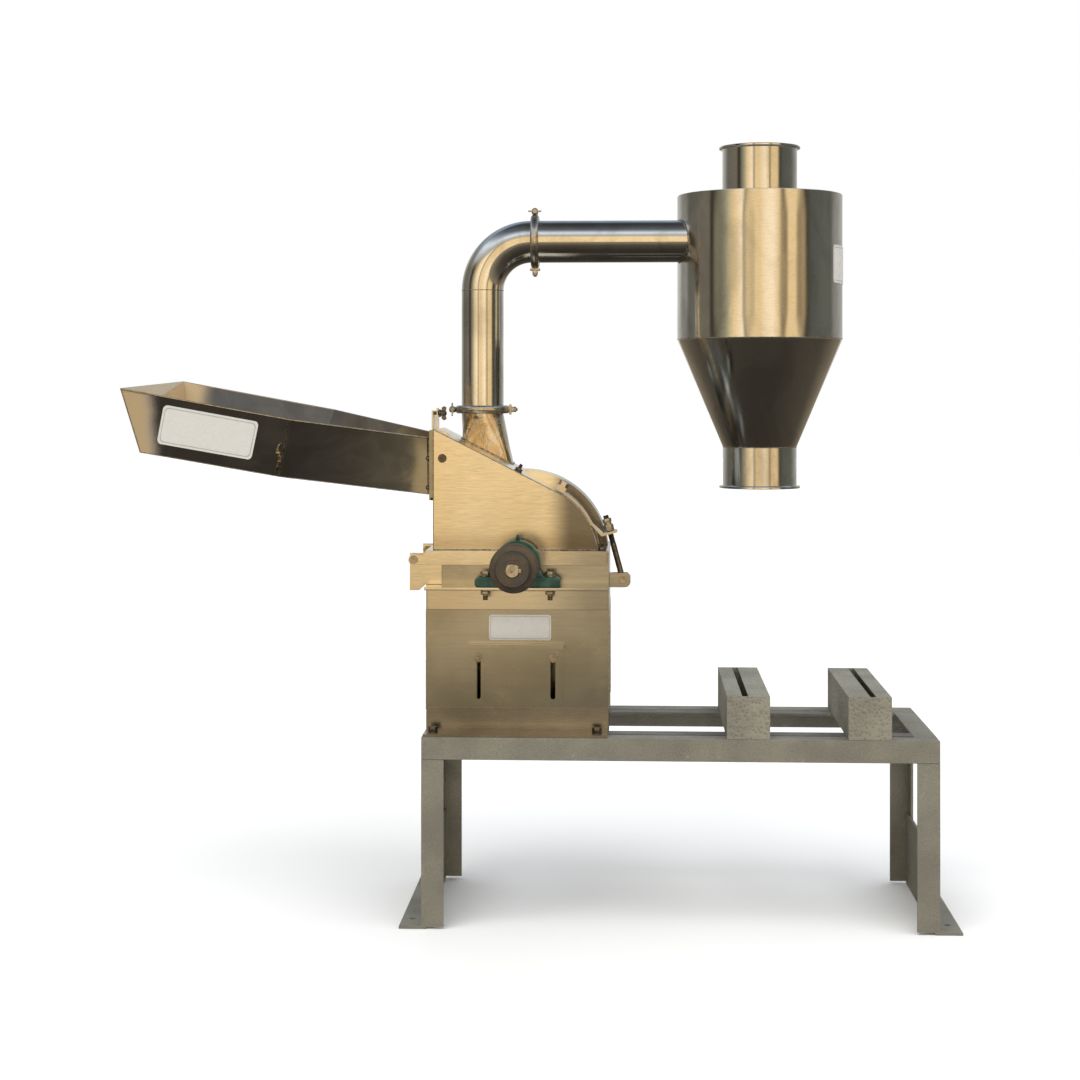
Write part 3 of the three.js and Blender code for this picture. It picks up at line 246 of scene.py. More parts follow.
def mirror_tray():
    """Dark mirror sheet with a painted gold reflection towards its closed end and painted shade on its rear
    wall and towards the throat, hazed by handling.
    """
    look = Look("tray_mirror")
    haze = look.noise(7, (1, 1, 1.6), detail=6, rough=0.6, warp=1.4)
    wipes = look.noise(30, (0.4, 1, 2), detail=4, rough=0.7, warp=0.5)
    color = look.mix(look.remap(haze, 0.38, 0.68), rgb(0.46, 0.45, 0.43), rgb(0.58, 0.57, 0.55))
    rear = look.remap(look.part("Y"), 0.10, 0.16)
    # Painted shade: the rear wall darker towards the closed end.
    rear_wall_shade = look.times(rear, look.remap(look.part("X"), -0.50, -0.36, 1.0, 0.0))
    color = look.mix(rear_wall_shade, color, rgb(0.40, 0.38, 0.35), "MULTIPLY")
    # Painted shade: darker towards the throat, except on the rear wall.
    throat = look.math("SUBTRACT", look.remap(look.part("X"), -0.40, -0.30, 0.0, 0.75), rear, True)
    color = look.mix(throat, color, rgb(0.52, 0.52, 0.50), "MULTIPLY")
    # Painted reflection: a soft gold gradient at the closed end, with less metal in it.
    end = look.add(look.part("X"), look.remap(haze, 0.3, 0.7, -0.003, 0.003))
    gold_reflection = look.remap(end, -0.803, -0.752, 1.0, 0.0)
    color = look.mix(gold_reflection, color, rgb(0.60, 0.45, 0.26))
    look.feed(look.shader.inputs["Metallic"], look.remap(gold_reflection, 0.0, 1.0, 1.0, 0.40))
    gloss = look.add(look.remap(haze, 0.4, 0.75, 0.08, 0.20), look.remap(wipes, 0.55, 0.8, 0.0, 0.08))
    look.bump((look.noise(2.6, detail=2), 0.45, 0.012), (wipes, 0.04, 0.0006))
    return look.finish(color, gloss)


def hammered_paint(name, light, dark, coarse=1.0):
    """Grey-green hammered enamel with a pebbled skin, dust in its hollows."""
    look = Look(name, metallic=0.25)
    pebbles = look.cells(330 / coarse)
    fine = look.noise(700 / coarse, detail=3)
    patches = look.noise(9, detail=5, rough=0.6)
    rubs = look.noise(60, (1, 1, 0.7), detail=6, rough=0.7)
    color = look.mix(look.remap(patches, 0.35, 0.68), light, dark)
    color = look.mix(look.remap(pebbles, 0.10, 0.55, 0.45, 0.0), color, rgb(0.10, 0.10, 0.085))
    color = look.mix(look.remap(rubs, 0.60, 0.75, 0.0, 0.35), color, rgb(0.46, 0.45, 0.39))
    gloss = look.add(look.remap(fine, 0.3, 0.7, 0.38, 0.56), look.remap(patches, 0.4, 0.7, 0.0, 0.08))
    look.bump((patches, 0.10, 0.002), (pebbles, 0.55, 0.0011 * coarse), (fine, 0.25, 0.0003))
    return look.finish(color, gloss)


def green_casting():
    look = Look("green_casting", metallic=0.1)
    grit = look.noise(420, detail=4)
    lumps = look.noise(45, detail=3)
    color = look.mix(look.remap(lumps, 0.35, 0.7), rgb(0.010, 0.040, 0.030), rgb(0.030, 0.085, 0.060))
    color = look.mix(look.remap(grit, 0.60, 0.80, 0.0, 0.5), color, rgb(0.16, 0.15, 0.12))
    look.bump((lumps, 0.4, 0.0012), (grit, 0.4, 0.0004))
    return look.finish(color, look.remap(grit, 0.3, 0.7, 0.30, 0.50))


def dark_iron():
    look = Look("turned_iron", metallic=0.75)
    grit = look.noise(500, detail=4)
    rust = look.noise(38, detail=6, rough=0.68)
    rings = look.noise(700, (0.15, 1, 0.15), detail=2)
    color = look.mix(look.remap(rust, 0.42, 0.70), rgb(0.115, 0.105, 0.090), rgb(0.17, 0.125, 0.085))
    color = look.mix(look.remap(grit, 0.55, 0.78, 0.0, 0.5), color, rgb(0.045, 0.042, 0.038))
    look.bump((rust, 0.15, 0.0008), (rings, 0.12, 0.0002), (grit, 0.25, 0.0003))
    return look.finish(color, look.remap(grit, 0.3, 0.7, 0.36, 0.56))


def plated_steel(name, tint, tarnish, roughness):
    """Zinc plated fasteners and ground steel, yellowed in places."""
    look = Look(name)
    spots = look.noise(85, detail=6, rough=0.65)
    scuffs = look.noise(600, detail=3)
    color = look.mix(look.remap(spots, 0.42, 0.68), tint, tarnish)
    look.bump((spots, 0.12, 0.0006), (scuffs, 0.15, 0.0002))
    return look.finish(color, look.remap(scuffs, 0.3, 0.7, roughness - 0.07, roughness + 0.10))


def mill_steel():
    look = Look("mill_steel", metallic=0.8)
    scale = look.noise(26, detail=7, rough=0.7)
    pits = look.cells(220)
    color = look.mix(look.remap(scale, 0.38, 0.66), rgb(0.20, 0.19, 0.18), rgb(0.34, 0.30, 0.25))
    look.bump((scale, 0.2, 0.0008), (pits, 0.15, 0.0004))
    return look.finish(color, look.remap(scale, 0.35, 0.7, 0.34, 0.55))


def perforated_steel():
    """Sieve sheet: staggered 4 mm holes along it, drawn as dark dimples whose near-black colour is painted
    shade in place of the openings.
    """
    look = Look("perforated_steel", metallic=0.85)
    centre = SHIFT + Vector((AXIS[0], 0, AXIS[1])) * MM
    around = look.math("ARCTAN2", look.math("SUBTRACT", look.part("Z"), centre.z),
                       look.math("SUBTRACT", look.part("X"), centre.x))
    sheet_radius, pitch, row_pitch = 0.150, 0.007, 0.006
    u = look.times(around, sheet_radius / pitch)
    v = look.times(look.part("Y"), 1 / row_pitch)
    row = look.math("MODULO", look.math("FLOOR", look.add(v, 200)), 2)
    du = look.math("SUBTRACT", look.math("FRACT", look.add(u, look.times(row, 0.5))), 0.5)
    dv = look.math("SUBTRACT", look.math("FRACT", v), 0.5)
    away = look.math("SQRT", look.add(look.times(du, du), look.times(dv, dv)))
    hole = look.remap(away, 0.27, 0.31, 1.0, 0.0)
    # Painted shade: near black inside each hole.
    color = look.mix(hole, rgb(0.46, 0.43, 0.38), rgb(0.015, 0.014, 0.012))
    look.bump((away, 0.3, 0.0005), (look.noise(60), 0.1, 0.0004))
    return look.finish(color, look.remap(look.noise(40), 0.3, 0.7, 0.30, 0.48))


def neck_stainless():
    """Hand-welded sheet: bright wiped patches over straw and brown heat tint."""
    look = Look("neck_stainless")
    tint = look.noise(15, (1, 1, 0.55), detail=5, rough=0.6, warp=1.6)
    wipes = look.noise(32, (1, 1, 0.4), detail=5, rough=0.7, warp=2.2)
    color = look.ramp(tint, (0.30, rgb(0.34, 0.27, 0.19)), (0.46, rgb(0.66, 0.52, 0.34)),
                      (0.58, rgb(0.74, 0.66, 0.54)), (0.72, rgb(0.52, 0.52, 0.50)))
    color = look.mix(look.remap(wipes, 0.56, 0.66, 0.0, 0.75), color, rgb(0.90, 0.90, 0.86))
    look.bump((tint, 0.35, 0.004), (wipes, 0.12, 0.001))
    return look.finish(color, look.remap(wipes, 0.4, 0.7, 0.14, 0.34))


def weld_metal():
    look = Look("weld_metal")
    ripple = look.noise(190, detail=3, rough=0.7)
    color = look.ramp(ripple, (0.35, rgb(0.20, 0.16, 0.12)), (0.55, rgb(0.55, 0.46, 0.34)),
                      (0.70, rgb(0.78, 0.74, 0.66)))
    look.bump((ripple, 0.6, 0.0010))
    return look.finish(color, look.remap(ripple, 0.3, 0.7, 0.24, 0.42))


def sticker(name, color):
    look = Look(name, metallic=0.0)
    scuff = look.noise(55, detail=5, rough=0.65)
    paper = look.mix(look.remap(scuff, 0.58, 0.78, 0.0, 0.5), color, rgb(0.62, 0.60, 0.56))
    look.bump((scuff, 0.05, 0.0004))
    return look.finish(paper, look.remap(scuff, 0.3, 0.7, 0.22, 0.36))


STRAW = rgb(0.76, 0.70, 0.59)
BRIGHT = rgb(0.86, 0.84, 0.79)
SMOKE = rgb(0.62, 0.60, 0.56)

LOOKS = {
    # Cover: painted shade and painted reflection, darker towards the drum on the right and towards its foot.
    "cover": brushed_stainless(
        "cover_sheet", (0.03, 1, 1), rgb(1.0, 0.95, 0.82), rgb(0.92, 0.84, 0.68), 0.20, 0.10,
        [("X", 0.000, 0.058, rgb(0.26, 0.26, 0.28)), ("Z", 0.800, 0.765, rgb(0.80, 0.76, 0.72))]),
    # Ledges, flange, lugs and gate: painted reflection, lighter on the left, darker and bluer towards the
    # right.
    "sheet": brushed_stainless(
        "brushed_sheet", (0.03, 1, 1), rgb(1.0, 0.96, 0.86), rgb(0.90, 0.83, 0.70), 0.18, 0.08,
        [("X", -0.060, 0.120, rgb(0.50, 0.52, 0.57))]),
    # Casing: painted shade, darker towards the right and towards the bottom.
    "casing": brushed_stainless(
        "casing_sheet", (0.03, 1, 1), rgb(0.66, 0.65, 0.60), rgb(0.50, 0.48, 0.42), 0.20, 0.12,
        [("X", -0.120, 0.100, rgb(0.84, 0.86, 0.88)), ("Z", 0.600, 0.400, rgb(0.66, 0.68, 0.70))]),
    # Casing feet: a darker copy of the casing sheet, painted shade.
    "foot": brushed_stainless(
        "foot_sheet_painted_shade", (0.03, 1, 1), rgb(0.44, 0.42, 0.39), rgb(0.30, 0.29, 0.27), 0.24),
    "upright": brushed_stainless("upright_sheet", (1, 1, 0.03), rgb(0.80, 0.76, 0.67), STRAW, 0.24),
    "drum": polished_stainless("polished_drum", rgb(0.80, 0.78, 0.73), SMOKE, 0.10),
    "tube": polished_stainless("polished_tube", BRIGHT, SMOKE, 0.09, 0.2),
    "tray": mirror_tray(),
    "neck": neck_stainless(),
    "paint": hammered_paint("bench_enamel", rgb(0.232, 0.222, 0.180), rgb(0.182, 0.175, 0.144)),
    # Motor rails: a lighter copy of the bench enamel, painted light, with coarser pebbles.
    "lit_rail_paint": hammered_paint(
        "rail_enamel_painted_light", rgb(0.275, 0.262, 0.212), rgb(0.212, 0.203, 0.166), 2.2),
    # Slot bars: a darker copy of the bench enamel, painted shade.
    "shaded_bar_paint": hammered_paint("slot_bar_enamel_painted_shade", rgb(0.150, 0.148, 0.130), rgb(0.100, 0.098, 0.088)),
    "casting": green_casting(),
    "iron": dark_iron(),
    "zinc": plated_steel("zinc_plate", rgb(0.62, 0.58, 0.50), rgb(0.42, 0.34, 0.22), 0.32),
    "black_bolt": plated_steel("oiled_bolt", rgb(0.24, 0.22, 0.19), rgb(0.14, 0.11, 0.08), 0.36),
    "ground": plated_steel("ground_steel", rgb(0.68, 0.65, 0.60), rgb(0.48, 0.42, 0.34), 0.26),
    "mill": mill_steel(),
    "sieve": perforated_steel(),
    "weld": weld_metal(),
    "label": sticker("blank_label", rgb(0.58, 0.57, 0.54)),
    "label_line": sticker("blank_label_line", rgb(0.34, 0.33, 0.30)),
}


# ---------- mesh making, in design millimetres ----------
class Shape:
    """Collects primitives into one mesh."""

    def __init__(self):
        self.bm = bmesh.new()

    def take(self, part, matrix=None, bevel=0.0):
        """Adds part's faces; bevel is the width its sharp edges are rounded by."""
        if bevel:
            round_edges(part, bevel)
        if matrix is not None:
            part.transform(matrix)
        carrier = bpy.data.meshes.new("carrier")
        part.to_mesh(carrier)
        part.free()
        self.bm.from_mesh(carrier)
        bpy.data.meshes.remove(carrier)
        return self


def round_edges(bm, width, above=30, segments=2):
    """Rounds the edges that turn by more than above degrees."""
    limit = math.radians(above)
    sharp = [e for e in bm.edges if len(e.link_faces) == 2 and e.calc_face_angle(0) > limit]
    if sharp:
        bmesh.ops.bevel(bm, geom=sharp, offset=width, offset_type="OFFSET", segments=segments,
                        profile=0.6, affect="EDGES", clamp_overlap=True)


def loops_to_mesh(loops, ring=False):
    """Skins matching loops of points; ring joins the last loop to the first, else both ends are capped."""
    bm = bmesh.new()
    rows = [[bm.verts.new(p) for p in loop] for loop in loops]
    count = len(rows[0])
    pairs = list(zip(rows, rows[1:])) + ([(rows[-1], rows[0])] if ring else [])
    for a, b in pairs:
        for j in range(count):
            k = (j + 1) % count
            bm.faces.new((a[j], a[k], b[k], b[j]))
    if not ring:
        bm.faces.new(list(reversed(rows[0])))
        bm.faces.new(rows[-1])
    bmesh.ops.remove_doubles(bm, verts=bm.verts, dist=1e-5)
    bmesh.ops.recalc_face_normals(bm, faces=bm.faces)
    return bm


def lathe(profile, sides=ROUND, ripple=None):
    """Turns a closed profile of (radius, height) about Z; ripple(angle, height) adds to the radius."""
    loops = []
    for i in range(sides):
        a = 2 * math.pi * i / sides
        loop = []
        for r, h in profile:
            radius = r + (ripple(a, h) if ripple and r > 1 else 0)
            loop.append((radius * math.cos(a), radius * math.sin(a), h))
        loops.append(loop)
    return loops_to_mesh(loops, ring=True)


def disc(radius, low, high, chamfer=0.5, sides=48):
    c = min(chamfer, (high - low) / 3)
    return lathe([(0, low), (radius - c, low), (radius, low + c), (radius, high - c),
                  (radius - c, high), (0, high)], sides)


def hexagon(flats, low, high, chamfer=1.0):
    radius = flats / math.sqrt(3)
    worn = radius * 0.93
    levels = [(worn, low), (radius, low + chamfer), (radius, high - chamfer), (worn, high)]
    turns = [i * math.pi / 3 for i in range(6)]
    return loops_to_mesh([[(r * math.cos(a), r * math.sin(a), z) for a in turns] for r, z in levels])


def thread(radius, low, high, pitch=1.6):
    turns = max(2, int((high - low) / pitch))
    profile = [(0, low)]
    for i in range(turns):
        z = low + (high - low) * i / turns
        profile += [(radius - 0.7, z), (radius, z + (high - low) / turns / 2)]
    profile += [(radius - 0.7, high), (0, high)]
    return lathe(profile, 24)


def slab(x0, x1, y0, y1, z0, z1):
    corners = [(x0, y0), (x1, y0), (x1, y1), (x0, y1)]
    return loops_to_mesh([[(x, y, z) for x, y in corners] for z in (z0, z1)])


def prism(outline, axis, low, high):
    """Extrudes an outline of two coordinates, (Y,Z) along x, (X,Z) along y, (X,Y) along z."""
    def place(a, b, c):
        return {"x": (c, a, b), "y": (a, c, b), "z": (a, b, c)}[axis]
    return loops_to_mesh([[place(a, b, c) for a, b in outline] for c in (low, high)])


def arc(cx, cz, radius, start, end, steps):
    """Points on an arc, angles in degrees."""
    angles = [math.radians(start + (end - start) * i / steps) for i in range(steps + 1)]
    return [(cx + radius * math.cos(a), cz + radius * math.sin(a)) for a in angles]


def tube(path, radius, sides):
    """Sweeps a circle along points; radius is a number or one for each point."""
    points = [Vector(p) for p in path]
    radii = radius if isinstance(radius, (list, tuple)) else [radius] * len(points)
    loops = []
    side = None
    for i, p in enumerate(points):
        ahead = (points[min(i + 1, len(points) - 1)] - points[max(i - 1, 0)]).normalized()
        if side is None:
            side = ahead.orthogonal().normalized()
        side = (side - ahead * side.dot(ahead)).normalized()
        up = ahead.cross(side)
        loops.append([p + (side * math.cos(a) + up * math.sin(a)) * radii[i]
                      for a in (2 * math.pi * k / sides for k in range(sides))])
    return loops_to_mesh(loops)


def weld_bead(path, size, seed=0):
    """A rippled bead along points, thicker and thinner as it was laid."""
    radii = [size * (0.8 + 0.5 * abs(noise.noise(Vector((i * 0.9, seed, 0.3)))))
             for i in range(len(path))]
    return tube(path, radii, 8)


def line(a, b, steps):
    a, b = Vector(a), Vector(b)
    return [a.lerp(b, i / steps) for i in range(steps + 1)]


def carve(target, *cutters):
    """Cuts solids out of a solid with the exact boolean."""
    made = []
    for bm in (target, *cutters):
        mesh = bpy.data.meshes.new("carve")
        bm.to_mesh(mesh)
        bm.free()
        obj = bpy.data.objects.new("carve", mesh)
        bpy.context.scene.collection.objects.link(obj)
        made.append(obj)
    for cutter in made[1:]:
        cut = made[0].modifiers.new("cut", "BOOLEAN")
        cut.operation = "DIFFERENCE"
        cut.solver = "EXACT"
        cut.object = cutter
    bpy.context.view_layer.update()
    result = bmesh.new()
    result.from_object(made[0], bpy.context.evaluated_depsgraph_get())
    for obj in made:
        bpy.data.objects.remove(obj)
    bmesh.ops.remove_doubles(result, verts=result.verts, dist=1e-3)
    return result


TURN = {
    "x": Matrix.Rotation(math.pi / 2, 4, "Y"),
    "y": Matrix.Rotation(-math.pi / 2, 4, "X"),
    "-x": Matrix.Rotation(-math.pi / 2, 4, "Y"),
    "-y": Matrix.Rotation(math.pi / 2, 4, "X"),
    "z": Matrix.Identity(4),
    "-z": Matrix.Rotation(math.pi, 4, "X"),
}


def put(x, y, z, axis="z"):
    """Moves a part made along Z so that it stands at a point and points along an axis."""
    return Matrix.Translation((x, y, z)) @ TURN[axis]


def add_piece(name, shape, look, body=None, nodes=(), sharp=35, in_metres=False):
    """Makes the object, gives it its look and fixes it to its body."""
    bm = shape.bm if isinstance(shape, Shape) else shape
    if not in_metres:
        bm.transform(TO_FRAME)
    mesh = bpy.data.meshes.new(name)
    bm.to_mesh(mesh)
    bm.free()
    mesh.shade_smooth()
    mesh.set_sharp_from_angle(angle=math.radians(sharp))
    obj = bpy.data.objects.new(name, mesh)
    bpy.context.scene.collection.objects.link(obj)
    obj.data.materials.append(LOOKS[look])
    weights = obj.modifiers.new("weights", "WEIGHTED_NORMAL")
    weights.keep_sharp = True
    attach(obj, body or BODY_OF[nodes[0]])
    if nodes:
        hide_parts(*nodes)


def dressed(node, look, width):
    """A node's own shape with its folded edges rounded, in a finer mesh."""
    bm = bmesh.new()
    bm.from_mesh(frame["nodes"][node].data)
    bmesh.ops.remove_doubles(bm, verts=bm.verts, dist=1e-6)
    bmesh.ops.dissolve_limit(bm, angle_limit=math.radians(0.8), verts=bm.verts, edges=bm.edges)
    round_edges(bm, width * MM)
    add_piece(f"{node}_skin", bm, look, nodes=(node,), in_metres=True)


# ---------- pieces ----------
# Look, edge width and the nodes whose own shape is kept.
FOLDED = [
    ("paint", 1.2, ("front_beam", "rear_beam", "left_end_frame", "right_end_frame")),
    ("shaded_bar_paint", 0.8, ("front_slot_bar", "rear_slot_bar")),
    ("lit_rail_paint", 1.4, ("motor_rail_left", "motor_rail_right")),
    ("casing", 0.6, ("lower_casing", "discharge_gate")),
    ("foot", 0.7, ("casing_foot_front", "casing_foot_rear")),
    ("sheet", 0.7, ("bearing_ledge_front", "bearing_ledge_rear", "cover_flange", "hinge_lug_front",
                    "hinge_lug_rear", "feed_gate", "clevis_bracket")),
    ("upright", 0.6, ("clamp_strap",)),
    ("sieve", 0.3, ("sieve",)),
    ("mill", 0.5, ("rotor_hub", "blower_impeller")),
]


def folded_parts():
    for look, width, nodes in FOLDED:
        for node in nodes:
            dressed(node, look, width)
    for index in range(1, 5):
        dressed(f"hammer_row_{index}", "mill", 0.5)
        dressed(f"hammer_pin_{index}", "ground", 0.4)


def cyclone_ripple(angle, height):
    """The flats that a bending roll leaves, fading at the rims."""
    above = min(1, max(0, (height - CYCLONE["barrel"]) / 30))
    below = min(1, max(0, (CYCLONE["top"] - height) / 30))
    return above * below * (0.30 * math.sin(19 * angle + 0.4) + 0.18 * math.sin(31 * angle + 2.1))


def ring_path(radius, height, steps=180):
    return [(radius * math.cos(a), radius * math.sin(a), height)
            for a in (2 * math.pi * i / steps for i in range(steps + 1))]


def cyclone():
    centre = put(CYCLONE["x"], CYCLONE["y"], 0)
    r, wall = CYCLONE["radius"], CYCLONE["wall"]
    cone, barrel, top = CYCLONE["cone"], CYCLONE["barrel"], CYCLONE["top"]
    side = [(r, barrel + (top - barrel) * i / 12) for i in range(13)]
    shell = lathe([
        (76.7, 872), (86, 872), (87, 873), (87, 876), (86, 877), (80.5, 877), (79.2, 878.5),
        (79.2, cone - 1), (80.2, cone + 3), (r - 1.2, barrel - 3), *side, (r - 1, top + 1.5),
        (80.6, top + 7), (80.6, top + 4), (r - wall, top - wall), (r - wall, barrel), (76.7, cone),
    ], 192, cyclone_ripple)
    offset = PIPE["y"] - CYCLONE["y"]
    inlet = disc(PIPE["radius"] - PIPE["wall"], 0, 120, 0.1)
    inlet.transform(put(-r - 20, offset, PIPE["cross_z"], "x"))
    body = Shape().take(carve(shell, inlet), centre)
    add_piece("cyclone_shell", body, "drum", nodes=("cyclone_body",), sharp=40)

    finder = lathe([
        (77.5, 1340), (80, 1340), (80, 1598), (81, 1600.5), (86, 1601), (87, 1602), (87, 1605),
        (86, 1606), (78.5, 1606), (77.5, 1605),
    ], 144)
    add_piece("cyclone_outlet_tube", Shape().take(finder, centre), "drum", nodes=("cyclone_outlet",),
              sharp=40)

    seams = Shape()
    for radius, height in ((r - 0.2, barrel), (79.2, cone), (80.6, top + 6.6)):
        seams.take(weld_bead(ring_path(radius, height), 0.8, height), centre)
    back = math.radians(70)
    x, y = r * math.cos(back), r * math.sin(back)
    seams.take(weld_bead(line((x, y, barrel + 3), (x, y, top - 2), 90), 0.9, 7), centre)
    bead = PIPE["radius"] + 0.6
    mouth = []
    for i in range(73):
        a = 2 * math.pi * i / 72
        y = offset + bead * math.cos(a)
        mouth.append((-math.sqrt(r * r - y * y) - 0.3, y, PIPE["cross_z"] + bead * math.sin(a)))
    seams.take(weld_bead(mouth, 1.8, 3), centre)
    add_piece("cyclone_welds", seams, "weld", "cover")


def pipe_wall(stations, outer, inner, sides=72, shape_end=None):
    """A tube with a bore: stations are (centre, across, up); shape_end bends the last circles."""
    def loop(station, radius):
        centre, across, up = (Vector(v) for v in station)
        return [centre + (across * math.cos(a) + up * math.sin(a)) * radius
                for a in (2 * math.pi * i / sides for i in range(sides))]
    outside = [loop(s, outer) for s in stations]
    inside = [loop(s, inner) for s in reversed(stations)]
    if shape_end:
        outside[-1] = [shape_end(p) for p in outside[-1]]
        inside[0] = [shape_end(p) for p in inside[0]]
    return loops_to_mesh(outside + inside, ring=True)


def ferrule():
    """The collar at a pipe's end, its face at height 0."""
    inner, outer, thick = PIPE["radius"] - PIPE["wall"], FERRULE["radius"], FERRULE["thick"]
    fillet = thick + 1.6
    return lathe([
        (inner, 0), (outer - 0.8, 0), (outer, 0.8), (outer, thick - 0.8), (outer - 0.8, thick),
        (PIPE["radius"] + 1.5, thick), (PIPE["radius"] - 0.2, fillet), (inner, fillet)], ROUND)


def pipes():
    r, wall, y = PIPE["radius"], PIPE["wall"], PIPE["y"]
    rise, level, bend = PIPE["riser_x"], PIPE["cross_z"], PIPE["bend"]
    stations = [((rise, y, z), (1, 0, 0), (0, 1, 0)) for z in (JOINT_Z + GAP, 1110, 1200, level - bend)]
    for i in range(1, 25):
        a = math.radians(90 * i / 24)
        centre = (rise + bend - bend * math.cos(a), y, level - bend + bend * math.sin(a))
        stations.append((centre, (math.cos(a), 0, -math.sin(a)), (0, 1, 0)))
    stations.append(((JOINT_X - GAP, y, level), (0, 0, -1), (0, 1, 0)))
    riser = Shape().take(pipe_wall(stations, r, r - wall))
    riser.take(ferrule(), put(rise, y, JOINT_Z + GAP))
    riser.take(ferrule(), put(JOINT_X - GAP, y, level, "-x"))
    add_piece("riser_pipe_tube", riser, "tube", nodes=("riser_pipe",), sharp=45)

    def to_drum(p):
        reach = math.sqrt((CYCLONE["radius"] - 1) ** 2 - (p.y - CYCLONE["y"]) ** 2)
        return Vector((CYCLONE["x"] - reach, p.y, p.z))

    stations = [((x, y, level), (0, 1, 0), (0, 0, 1)) for x in (JOINT_X + GAP, 60, 160, 270)]
    cross = Shape().take(pipe_wall(stations, r, r - wall, shape_end=to_drum))
    cross.take(ferrule(), put(JOINT_X + GAP, y, level, "x"))
    add_piece("cross_pipe_tube", cross, "tube", nodes=("cross_pipe",), sharp=45)

    seams = Shape()
    seams.take(weld_bead(ring_path(r - 0.1, 0, 90), 0.8, 5), put(rise, y, level - bend))
    x, y = rise + r * 0.6, y + r * 0.8
    seams.take(weld_bead(line((x, y, JOINT_Z + 8), (x, y, 1290), 90), 0.7, 9))
    add_piece("riser_welds", seams, "weld", "cover")


def pipe_clamp(name, node, place):
    """A two-part ring drawn together by a wing nut, hinged on a pin opposite."""
    r = FERRULE["radius"] + 1.2
    half = FERRULE["thick"] + 1
    lip = PIPE["radius"] + 1.5
    shape = Shape()
    upper = [(lip, half), (lip, half + 2.4), (lip + 0.6, half + 3), (r, half + 3), (r + 2.5, half + 2),
             (r + 4.6, half - 1)]
    lower = [(radius, -height) for radius, height in reversed(upper)]
    shape.take(lathe([*upper, (r + 5, 0), *lower, (r, -half), (r, half)], ROUND), place)
    for side in (-1, 1):
        ends = sorted((side * r, side * (r + 14)))
        for gap in (-1, 1):
            shape.take(slab(*ends, *sorted((gap * 1.2, gap * 7)), -6, 6), place, 1.2)
    bolt_x = -(r + 11)
    bolt = place @ put(bolt_x, 0, 0, "y")
    stack(shape, bolt, ("thread", 3.5, -17, 17), ("hex", 9, 8, 13), ("disc", 6.5, 7, 8.2),
          ("disc", 6.2, -12, -7))
    shape.take(lathe([(0, -19), (4.2, -19), (6, -17), (7.5, -12), (0, -12)], 40), bolt)
    for side in (-1, 1):
        outline = [(3, -18), (12, -20), (14.5, -17.5), (12, -13), (4, -12)]
        wing = prism([(side * a, b) for a, b in outline], "y", -1.5, 1.5)
        shape.take(wing, bolt @ Matrix.Rotation(math.pi / 2, 4, "Z"), 1.0)
    pin = place @ put(r + 12, 0, 0, "y")
    stack(shape, pin, ("disc", 5, -11, 11), ("disc", 3.2, -13, 13))
    shape.take(slab(r + 4, r + 9, -8, 8, -11, 11), place, 1.5)
    stack(shape, place @ put(r + 8, 0, 0, "x"), ("thread", 3.6, 4, 14), ("hex", 10, 6, 11))
    add_piece(name, shape, "ground", nodes=(node,))


def stack(shape, place, *elements):
    """Fastener elements along a local Z: (kind, radius or flats, low, high)."""
    makers = {"hex": hexagon, "disc": disc, "thread": thread}
    for kind, size, low, high in elements:
        shape.take(makers[kind](size, low, high), place)


def roof(x):
    """Height of the cover's sloping roof."""
    return COVER["top"] - COVER["slope"] * (x - COVER["left"])


def neck():
    """Square foot on the sloping roof, drawn up to a round top, beaten by hand."""
    steps = 14
    top = JOINT_Z - GAP
    rise, y0 = PIPE["riser_x"], PIPE["y"]
    turns = [2 * math.pi * (i + 0.5) / ROUND for i in range(ROUND)]

    def foot(inset):
        loop = []
        power = NECK_FOOT["squareness"]
        for a in turns:
            k = (abs(math.cos(a)) ** power + abs(math.sin(a)) ** power) ** (-1 / power)
            x = NECK_FOOT["x"] + (NECK_FOOT["half_length"] - inset) * k * math.cos(a)
            y = y0 + (NECK_FOOT["half_width"] - inset) * k * math.sin(a)
            loop.append(Vector((x, y, roof(x) + GAP)))
        return loop

    def circle(radius, z):
        return [Vector((rise + radius * math.cos(a), y0 + radius * math.sin(a), z)) for a in turns]

    def beaten(p, depth):
        outward = Vector((p.x - rise, p.y - y0, 0)).normalized()
        return p - outward * (0.88 * depth * abs(noise.noise(p * 0.035)))

    def skin(inset, radius):
        low, high = foot(inset), circle(radius, top - 12)
        loops = []
        for i in range(steps + 1):
            t = i / steps
            loops.append([beaten(a.lerp(b, t), math.sin(math.pi * t)) for a, b in zip(low, high)])
        return loops + [circle(radius, top)]

    outside = skin(0, PIPE["radius"])
    inside = skin(SHEET, PIPE["radius"] - PIPE["wall"])
    shape = Shape().take(loops_to_mesh(outside + inside[::-1], ring=True))
    shape.take(ferrule(), put(rise, y0, top, "-z"))
    add_piece("neck_duct", shape, "neck", nodes=("neck",), sharp=50)
    seams = Shape()
    around = [Vector((p.x, p.y, p.z + 0.6)) for p in foot(-0.8)]
    seams.take(weld_bead(around + around[:1], 2.0, 11))
    corner = slice(60, 64)
    middle = zip(foot(0)[corner], circle(PIPE["radius"], top - 14)[corner])
    seams.take(weld_bead([a.lerp(b, 0.5) for a, b in middle], 1.0, 2))
    add_piece("neck_welds", seams, "weld", "cover")


